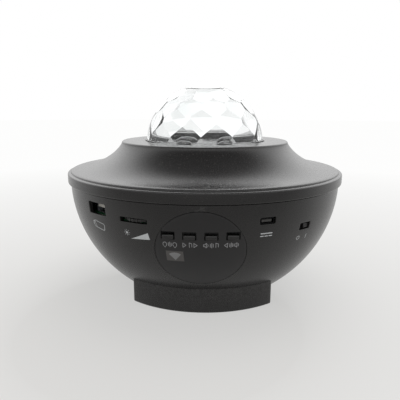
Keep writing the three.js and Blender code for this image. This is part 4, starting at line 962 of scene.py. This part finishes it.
def make_bottom_cover():
    plate = lathe("bottom_cover_shell", [(0, 4.5), (50.5, 4.5), (51.0, 5.0), (51.0, 6.0), (0, 6.0)], 160)
    carve(plate, make_feet(), action="UNION")
    carve(plate, *[strip("seat", [(-1, 0.3), (1.7, 0.3)], azimuth, *PAD) for azimuth in PAD_AZIMUTHS])
    for count, radius, length in ((6, 5.5, 5.0), (14, 15.0, 9.0)):
        carve(plate, ring_of("slots", slot_cutter(length), count, radius, None))
    carve(plate, *rods(2.85, 4.0, 5.95, *BASE_SCREWS, top=SCREW_HOLE))
    return carve(plate, *rods(SCREW_HOLE, 3.0, 7.0, *BASE_SCREWS))


settle(make_bottom_cover(), "base", black_plastic, "black_shell", "bottom_cover")

# %% [markdown]
# ## Rubber pads and base screws
# Four rubber pads are glued into shallow seats under the feet and stand a little proud of them.
# Between them, four countersunk screws with a cross hold the bottom cover.

# %% Pads and screws
for number, azimuth in enumerate(PAD_AZIMUTHS, start=1):
    levels = [(0.0, -0.5), (0.1, -0.2), (0.4, 0.0), (1.4, 0.0)]
    pad = strip(f"rubber_pad_{number}", levels, azimuth, *PAD)
    settle(pad, "base", rubber, "rubber_pad", f"foot_pad_{number}")


def make_base_screws():
    profile = [(0, 4.5), (2.35, 4.5), (2.6, 4.7), (1.2, 5.7), (1.2, 11.2), (0.7, 11.7), (0, 11.7)]
    screw = lathe("screw", profile, 32)
    corners = []
    for c, s in ((1, 0), (0, 1), (-1, 0), (0, -1)):
        corners += [(a * c - b * s, a * s + b * c) for a, b in ((1.6, -0.4), (1.6, 0.4), (0.4, 0.4))]
    carve(screw, loft("cross", [at_height(corners, z) for z in (4.0, 5.1)]))
    reach, azimuths = BASE_SCREWS
    return ring_of("base_screws", screw, len(azimuths), reach, steel, first=azimuths[0])


settle(make_base_screws(), "base", steel, "bright_steel", *[f"base_screw_{i}" for i in range(1, 5)])

# %% [markdown]
# ## The dome
# The dome is one clear moulding: a smooth skin outside, and inside it a hollow with five rows of
# twelve flat facets and a flat ceiling. A round blank is planed flat by flat: each plane cuts a slice
# off and the cut is closed again. The planed blank is then cut out of the turned skin, and the round
# bore under it leaves the skirt and flange.

# %% Planed hollow
DOME_CENTRE, DOME_RADIUS, DOME_BORE, RIM_TOP, CAP_WALL = 83.9, 35.7, 33.3, 86.9, 4.0
FACET_LIFTS, FACETS_ROUND, FACET_TURN = (-5, 8.5, 25.5, 41, 56), 12, 12.8


def planed_hollow():
    """A round blank whose sides are planed off; each row of flats is half a flat further round."""
    hollow = rod(DOME_RADIUS, RIM_TOP, DOME_CENTRE + DOME_RADIUS - CAP_WALL, sides=96)
    shell = bmesh.new()
    shell.from_mesh(hollow.data)
    for row, lift in enumerate(FACET_LIFTS, start=1):
        for i in range(FACETS_ROUND):
            azimuth, tilt = FACET_TURN + (i + row / 2) * 360 / FACETS_ROUND, math.radians(lift)
            face = polar(math.cos(tilt), azimuth) + Vector((0, 0, math.sin(tilt)))
            point = (Vector((0, 0, DOME_CENTRE)) + face * DOME_BORE) * MM
            everything = list(shell.verts) + list(shell.edges) + list(shell.faces)
            cut = bmesh.ops.bisect_plane(shell, geom=everything, dist=1e-7, plane_co=point, plane_no=face,
                                         clear_outer=True)
            edges = [e for e in cut["geom_cut"] if isinstance(e, bmesh.types.BMEdge)]
            bmesh.ops.contextual_create(shell, geom=edges)
    bmesh.ops.recalc_face_normals(shell, faces=shell.faces)
    shell.to_mesh(hollow.data)
    shell.free()
    print("flats and ends of the hollow:", len(hollow.data.polygons))
    return hollow


# %% Dome
def make_dome():
    skirt = [(0, 80.0), (39.3, 80.0), (39.5, 80.2), (39.5, 81.8), (39.3, 82.0), (36.15, 82.0),
             (36.0, 82.15), (36.0, RIM_TOP - 0.2), (35.8, RIM_TOP)]
    ball = arc((0, DOME_CENTRE), (DOME_RADIUS, DOME_RADIUS), 5, 88, 84)
    dome = lathe("dome_clear", [*skirt, *ball, (0, DOME_CENTRE + DOME_RADIUS)], 240)
    carve(dome, planed_hollow())
    carve(dome, rod(DOME_BORE, 78.0, RIM_TOP + 0.1, sides=144))
    return carve(dome, *rods(1.25, 78.0, 83.0, 37.5, (0, 120, 240)))


settle(make_dome(), "dome_rotor", clear_plastic, "clear_plastic", "dome", sharp=3)

# %% [markdown]
# ## Under the dome
# Through the facets one sees a dark satin deck with four lamp lenses and the small round window of
# the pointer lamp in its middle. The deck is turned and drilled, and the ring tree sets its lenses.

# %% Deck and lenses
LENSES = (17.0, (45, 135, 225, 315))


def make_deck():
    section = [(0, 82.5), (28.5, 82.5), (28.5, 76.8), (32.4, 76.8), (32.4, 84.2), (32.1, 84.5), (0, 84.5)]
    deck = lathe("deck_plate", section, 144)
    return carve(deck, *rods(4.8, 82.0, 85.0, *LENSES), rod(3.3, 82.0, 85.0))


def make_lens():
    profile = [(0, 78.5), (3.0, 78.5), (5.6, 80.9), (5.6, 82.2), (4.5, 82.2), (4.5, 84.5),
               *arc((0, 84.5), (4.5, 2.3), 0, 84, 12)[1:], (0, 86.8)]
    return lathe("lens", profile, 48)


settle(make_deck(), "base", deck_plastic, "black_shell", "deck")
for number, azimuth in enumerate(LENSES[1], start=1):
    lens = ring_of(f"lamp_lens_{number}", make_lens(), 1, LENSES[0], clear_plastic, first=azimuth)
    settle(lens, "base", clear_plastic, "clear_plastic", f"lens_{number}")
pane = [(0, 82.5), (2.9, 82.5), (3.0, 82.6), (3.0, 84.1), (2.9, 84.2), (0, 84.2)]
settle(lathe("pointer_window", pane, 48), "base", clear_plastic, "clear_plastic", "laser_window")

# %% [markdown]
# ## The four buttons
# Each button is one moulding: a soft-edged cap in its window, a flange behind the wall that keeps it
# in, and a plunger to its key switch. One skin of stacked outlines makes all three, from the cap's
# face to the plunger's end.

# %% Buttons
def make_button(number, x):
    """Each outline in the stack is its reach, width, height, lift and corner."""
    face = math.sqrt(bowl_radius(BUTTON_HEIGHT - 1.6) ** 2 - x * x) + 0.75
    inside = bowl_radius(BUTTON_HEIGHT - 2.55, BOWL_WALL)
    flange = math.sqrt(inside ** 2 - (abs(x) + 3.8) ** 2) - 0.3
    cap_edge = face - 0.6
    cap = [(face, 5.2, 1.7, -0.75, 0.4), (face - 0.08, 5.4, 2.0, -0.75, 0.4),
           (cap_edge, 5.7, 2.3, -0.75, 0.4), (flange, 5.7, 2.3, -0.75, 0.4)]
    disc = [(flange, 7.4, 4.9, 0, 0.5), (flange - 0.1, 7.6, 5.1, 0, 0.6), (flange - 1, 7.6, 5.1, 0, 0.6)]
    plunger = [(flange - 1, 3.0, 3.0, 0, 1.49), (69.9, 3.0, 3.0, 0, 1.49), (69.8, 2.8, 2.8, 0, 1.39)]
    loops = []
    for reach, width, tall, lift, corner in cap + disc + plunger:
        loops.append([(x + a, -reach, BUTTON_HEIGHT + lift + b) for a, b in rounded(width, tall, corner)])
    button = loft(f"button_cap_{number}", loops)
    settle(button, f"button_{number}", black_plastic, "black_shell", f"button_{number}")


for number, x in enumerate(BUTTON_XS, start=1):
    make_button(number, x)

# %% [markdown]
# ## Sockets behind their windows
# The memory stick's socket is a folded steel shell with a plastic tongue and four gilded contacts,
# and stands a little behind its window. The power inlet is its smaller sister: a dark shell with
# a grey tongue, which fills its window as on the real lamp.

# %% Sockets
def boxes(place, reach_out, stack):
    """Outlines stacked inwards from a reach: depth, width, height, corner and side and up shifts."""
    start, right, up, out = place
    loops = []
    for depth, width, tall, corner, side, lift in stack:
        centre = start + out * (reach_out - depth) + right * side + up * lift
        loops.append([centre + right * a + up * b for a, b in rounded(width, tall, corner, per_side=2)])
    return loops


def levels_of(width, tall, lift, rows):
    """Centred levels for a stack; each row is a depth, how much smaller it is, and its corner."""
    return [(depth, width - less, tall - less, corner, 0, lift) for depth, less, corner in rows]


def make_socket(name, place, lift, reach, width, tall, length, wall, tongue):
    """A shell that is open at its front, and the tongue in it."""
    bore = 2 * wall
    outside = [(length, 0, 0.6), (0.15, 0, 0.6), (0, 0.2, 0.5)]
    inside = [(0, 1.6 * wall, 0.4), (0.2, bore, 0.3), (length - bore, bore, 0.3)]
    shell = levels_of(width, tall, lift, outside + inside)
    tongue_width, tongue_tall, setback, rise = tongue
    bar = levels_of(tongue_width, tongue_tall, lift + rise,
                    [(setback, 0.4, 0.15), (setback + 0.2, 0, 0.2), (length - wall, 0, 0.2)])
    return loft(name, boxes(place, reach, shell)), loft(name + "_tongue", boxes(place, reach, bar))


# %% Memory-stick socket
usb_reach = bowl_radius(55.8) - 5.0
usb_shell, usb_tongue = make_socket("usb_shell", usb_place, -0.4, usb_reach, width=13.6, tall=6.2,
                                    length=14.0, wall=0.5, tongue=(12.2, 1.6, 0.15, 0.6))
settle(usb_shell, "base", steel, "bright_steel", "usb_socket")
settle(usb_tongue, "base", white_plastic, "white_gear", "usb_socket")

# %% Power inlet
inlet_reach = bowl_radius(54.1) - 1.2
inlet_shell, inlet_tongue = make_socket("inlet_shell", inlet_place, -0.2, inlet_reach, width=7.7, tall=2.8,
                                        length=7.6, wall=0.3, tongue=(5.6, 1.5, 0.3, 0.0))
settle(inlet_shell, "base", dark_steel, "dark_steel", "power_inlet")
settle(inlet_tongue, "base", grey_plastic, "black_part", "power_inlet")

# %% Gilded contacts
contacts = []
for side in (-3.5, -1.0, 1.0, 3.5):
    strips = [(depth, 1.0, 0.12, 0.05, side, -0.62) for depth in (2.0, 10.0)]
    contacts.append(loft("contact", boxes(usb_place, usb_reach, strips)))
settle(merged("usb_contacts", contacts), "base", gold, "brass")

# %% [markdown]
# ## The slide switch's knob
# A small knob with three grooves slides sideways in its window. It rides on the power slider, so it
# is drawn where the CAD has it at rest, at the left end of its travel.

# %% Knob
def make_knob():
    start, right, _, out = switch_place
    lo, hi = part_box("switch_knob")
    middle = (lo + hi) / 2 / MM
    side = (middle - start).dot(right)
    reach = bowl_radius(SWITCH_HEIGHT) - 0.7
    foot = middle.dot(out) * 2 - reach
    end = reach - foot
    stack = [(0.0, 2.8, 2.0, 0.25), (0.15, 3.1, 2.3, 0.3), (0.4, 3.2, 2.4, 0.3), (end - 1, 3.2, 2.4, 0.3),
             (end - 1, 3.9, 3.1, 0.3), (end, 3.9, 3.1, 0.3)]
    knob = loft("power_knob", boxes(switch_place, reach, [(*level, side, 0) for level in stack]))
    grooves = []
    for shift in (-0.95, 0.0, 0.95):
        groove = [(-0.3, 0.5, 3.0, 0.05, side + shift, 0), (0.3, 0.25, 3.0, 0.05, side + shift, 0)]
        grooves.append(loft("groove", boxes(switch_place, reach, groove)))
    carve(knob, *grooves)
    print("knob side", round(side, 2), "foot", round(foot, 2), "reach", round(reach, 2))
    settle(knob, "power_slider", black_plastic, "black_shell", "switch_knob")


make_knob()

# %% [markdown]
# ## The brightness wheel
# Only the ridged edge of the wheel shows in its slot. The ring tree sets 28 rounded ridges round a
# turned disc; then the wheel is moved to its shaft, and it rides on its own body.

# %% Brightness wheel
WHEEL_SHAFT = (-0.028473, -0.064244, 0)


def make_wheel(low, high, rim, ridges):
    section = [(0, 48.8), (1.5, 48.8), (1.5, low), (rim - 0.3, low), (rim, low + 0.3), (rim, high - 0.3),
               (rim - 0.3, high), (0, high)]
    disc = lathe("disc", section, 112)
    levels = ((low + 0.1, 0.7), (low + 0.3, 1.0), (high - 0.3, 1.0), (high - 0.1, 0.7))
    ridge = loft("ridge", [at_height(rounded(width, 0.9, 0.3), z) for z, width in levels])
    ring = ring_of("ridges", ridge, ridges, rim - 0.07, black_plastic)
    wheel = merged("brightness_wheel_edge", [disc, ring])
    wheel.data.transform(Matrix.Translation(WHEEL_SHAFT))
    settle(wheel, "brightness_wheel", black_plastic, "black_shell", "dimmer_wheel")


make_wheel(low=52.7, high=54.4, rim=9.1, ridges=28)

# %% [markdown]
# ## Prints
# The lamp carries a few light grey prints: a memory stick under its socket, a sun and a wedge at the
# brightness wheel, a plain sign for direct current, the usual signs for on and off, and small
# signs under the buttons. Each is a very thin sheet laid on the skin, 0.04 mm proud, made of strokes.

# %% Helpers for prints
def stroke(points, width, closed=False):
    """Quads (four points each) along a line of a given width."""
    quads, line = [], points + points[:1] if closed else points
    for (x0, y0), (x1, y1) in zip(line, line[1:]):
        length = math.hypot(x1 - x0, y1 - y0)
        ux, uy = (x1 - x0) / length, (y1 - y0) / length
        nx, ny = -uy * width / 2, ux * width / 2
        parts = max(1, int(length / 1.2))
        spare_x, spare_y = ux * width * 0.3, uy * width * 0.3
        x0, y0, x1, y1 = x0 - spare_x, y0 - spare_y, x1 + spare_x, y1 + spare_y
        along = [k / parts for k in range(parts + 1)]
        spots = [(x0 + (x1 - x0) * a, y0 + (y1 - y0) * a) for a in along]
        for (px, py), (qx, qy) in zip(spots, spots[1:]):
            quads.append([(px - nx, py - ny), (qx - nx, qy - ny), (qx + nx, qy + ny), (px + nx, py + ny)])
    return quads


def filled(corners, parts=6):
    """Small tiles that fill a convex outline, fanned from its first corner."""
    first, tiles = corners[0], []
    for a, b in zip(corners[1:], corners[2:]):
        def at(i, j):
            s, t = i / parts, j / parts
            return tuple(first[k] * (1 - s) + (a[k] * (1 - t) + b[k] * t) * s for k in (0, 1))
        for i in range(parts):
            tiles += [[at(i, j), at(i + 1, j), at(i + 1, j + 1), at(i, j + 1)] for j in range(parts)]
    return tiles


def sign(name, azimuth, height, tiles, look, lift=0.04, depth=0.06):
    """Lays flat tiles (right, up) on the bowl's skin about a place and gives them a little thickness."""
    start, right, up, out = stand(azimuth, height)
    points, faces = [], []
    for tile in tiles:
        low, n = len(points), len(tile)
        for inset in (-lift, depth):
            points += [bowl_point(start + right * a + up * b, out, inset) for a, b in tile]
        faces += [[low + i for i in range(n)], [low + n + i for i in range(n)][::-1]]
        faces += [[low + i, low + n + i, low + n + (i + 1) % n, low + (i + 1) % n] for i in range(n)]
    settle(solid(name, points, faces, weld=False), "base", look, "black_shell")


# %% Prints on the bowl
stick = rounded(8.2, 3.6, 0.9, per_side=2, per_corner=3)
leaning_stick = [(a + 0.28 * b, b - 0.16 * a) for a, b in stick]
plug, mark = [(-4.7, 0.0), (-4.9, 1.6), (-3.9, 1.9)], [(-2.6, -1.2), (-3.2, 1.6)]
stick_tiles = stroke(leaning_stick, 0.32, closed=True) + stroke(plug, 0.3) + stroke(mark, 0.3)
sign("print_memory_stick", -41.6, 47.2, stick_tiles, grey_ink)

rays = []
for k in range(8):
    c, s = math.cos(k * math.pi / 4), math.sin(k * math.pi / 4)
    rays += stroke([(1.05 * c, 1.05 * s), (1.6 * c, 1.6 * s)], 0.2)
sign("print_sun", -27.2, 46.8, filled(arc((0, 0), (0.62, 0.62), 0, 330, 11), 2) + rays, grey_ink)
sign("print_wedge", -22.1, 45.6, filled([(-5.2, -1.9), (4.9, 2.3), (5.5, -1.2)], 8), grey_ink)

bars = stroke([(-3.0, 0.7), (3.0, 0.7)], 0.55)
for left in (-3.0, -0.75, 1.5):
    bars += stroke([(left, -0.7), (left + 1.5, -0.7)], 0.5)
sign("print_direct_current", 23.4, 47.2, bars, grey_ink)
ring = arc((0, 0), (0.95, 0.95), 0, 337.5, 15)
sign("print_off", 38.9, 42.2, stroke(ring, 0.3, closed=True), grey_ink)
sign("print_on", 43.4, 42.2, stroke([(0, -1.1), (0, 1.1)], 0.35), grey_ink)
print("six prints on the bowl")

# %% [markdown]
# Under each button are small signs for what it does: the lamp, its colours, sound and tone. They are
# in a duller grey than the rest. Below them is the square that the remote control is pointed at,
# with a fan of light in it.

# %% Small signs
def lamp_sign(x):
    bulb = [(x + a, b) for a, b in arc((0, 0), (0.75, 0.75), -60, 240, 14)]
    return stroke(bulb, 0.2) + stroke([(x - 0.3, -1.05), (x + 0.3, -1.05)], 0.2)


def arrow_sign(x, way):
    return stroke([(x - 0.6 * way, 0.8), (x + 0.6 * way, 0), (x - 0.6 * way, -0.8)], 0.2, closed=True)


def note_sign(x):
    return stroke([(x - 0.35, -0.8), (x - 0.35, 0.9), (x + 0.6, 0.6), (x + 0.6, -0.6)], 0.2)


def speaker_sign(x):
    horn = [(x - 0.8, 0.35), (x - 0.3, 0.35), (x + 0.3, 0.85), (x + 0.3, -0.85), (x - 0.3, -0.35),
            (x - 0.8, -0.35)]
    sound = [(x + 0.75, 0.5), (x + 0.95, 0), (x + 0.75, -0.5)]
    return stroke(horn, 0.2, closed=True) + stroke(sound, 0.2)


def wave_sign(x):
    tiles = []
    for k in (-1, 0, 1):
        middle, top = x + 0.55 * k, 0.9 - 0.3 * abs(k)
        tiles += stroke([(middle, -top), (middle, top)], 0.22)
    return tiles


# %% Prints on the label
SIGN_AZIMUTHS = [x / 1.37 for x in (-15.0, -5.1, 4.9, 14.6)]
rows = [lamp_sign(-1.8) + wave_sign(0.2) + lamp_sign(2.1),
        arrow_sign(-2.0, 1) + note_sign(0.2) + arrow_sign(2.2, 1),
        speaker_sign(-1.9) + wave_sign(0.4) + note_sign(2.3),
        arrow_sign(-1.9, -1) + wave_sign(0.1) + speaker_sign(2.0)]
for number, (azimuth, row) in enumerate(zip(SIGN_AZIMUTHS, rows), start=1):
    tiles = [[(1.25 * a, 1.45 * b) for a, b in tile] for tile in row]
    sign(f"print_button_{number}", azimuth, 43.0, tiles, label_ink)

square = [(-4.3, -2.9), (4.3, -2.9), (4.3, 2.9), (-4.3, 2.9)]
sign("print_receiver_square", -9.4, RECEIVER_HEIGHT, filled(square, 8), window_ink)
fan = [(0.1, -2.3), *[(0.1 + a, -2.3 + b) for a, b in arc((0, 0), (4.6, 4.4), 50, 130, 6)]]
sign("print_receiver_fan", -9.4, RECEIVER_HEIGHT, filled(fan, 5), dim_ink, lift=0.07)
print("six prints on the label")

# %% [markdown]
# ## Inside the lamp
# The rest of the lamp's pieces stay as the CAD has them: gears, motor, boards, switches, the speaker
# and the long screws. Each gets the finish of its real material, by its material slot.

# %% Finishes for the CAD pieces
slot_looks = {"black_shell": black_plastic, "label_film": film, "clear_plastic": clear_plastic,
              "rubber_pad": rubber, "white_gear": white_plastic, "board_green": green_board,
              "board_white": white_board, "lamp_red": lamp_red, "lamp_green": lamp_green,
              "lamp_blue": lamp_blue, "lamp_white": lamp_white, "bright_steel": steel,
              "dark_steel": dark_steel, "black_part": inner_plastic, "brass": brass, "ferrite": ferrite,
              "cone_paper": cone_paper}
node_slots = {row["node"]: row["material_slot"] for row in frame["record"]["subparts"]}
for name, node in frame["nodes"].items():
    look = slot_looks[node_slots[name]]
    if not node.material_slots:
        node.data.materials.append(look)
    for place in node.material_slots:
        place.material = look
shown_nodes = [node for node in frame["nodes"].values() if not node.hide_render]
print("CAD pieces shown with a finish:", len(shown_nodes))

# %% [markdown]
# The view stays plain, so colours come out as they are written.

# %% Finish
bpy.context.scene.view_settings.view_transform = "Standard"
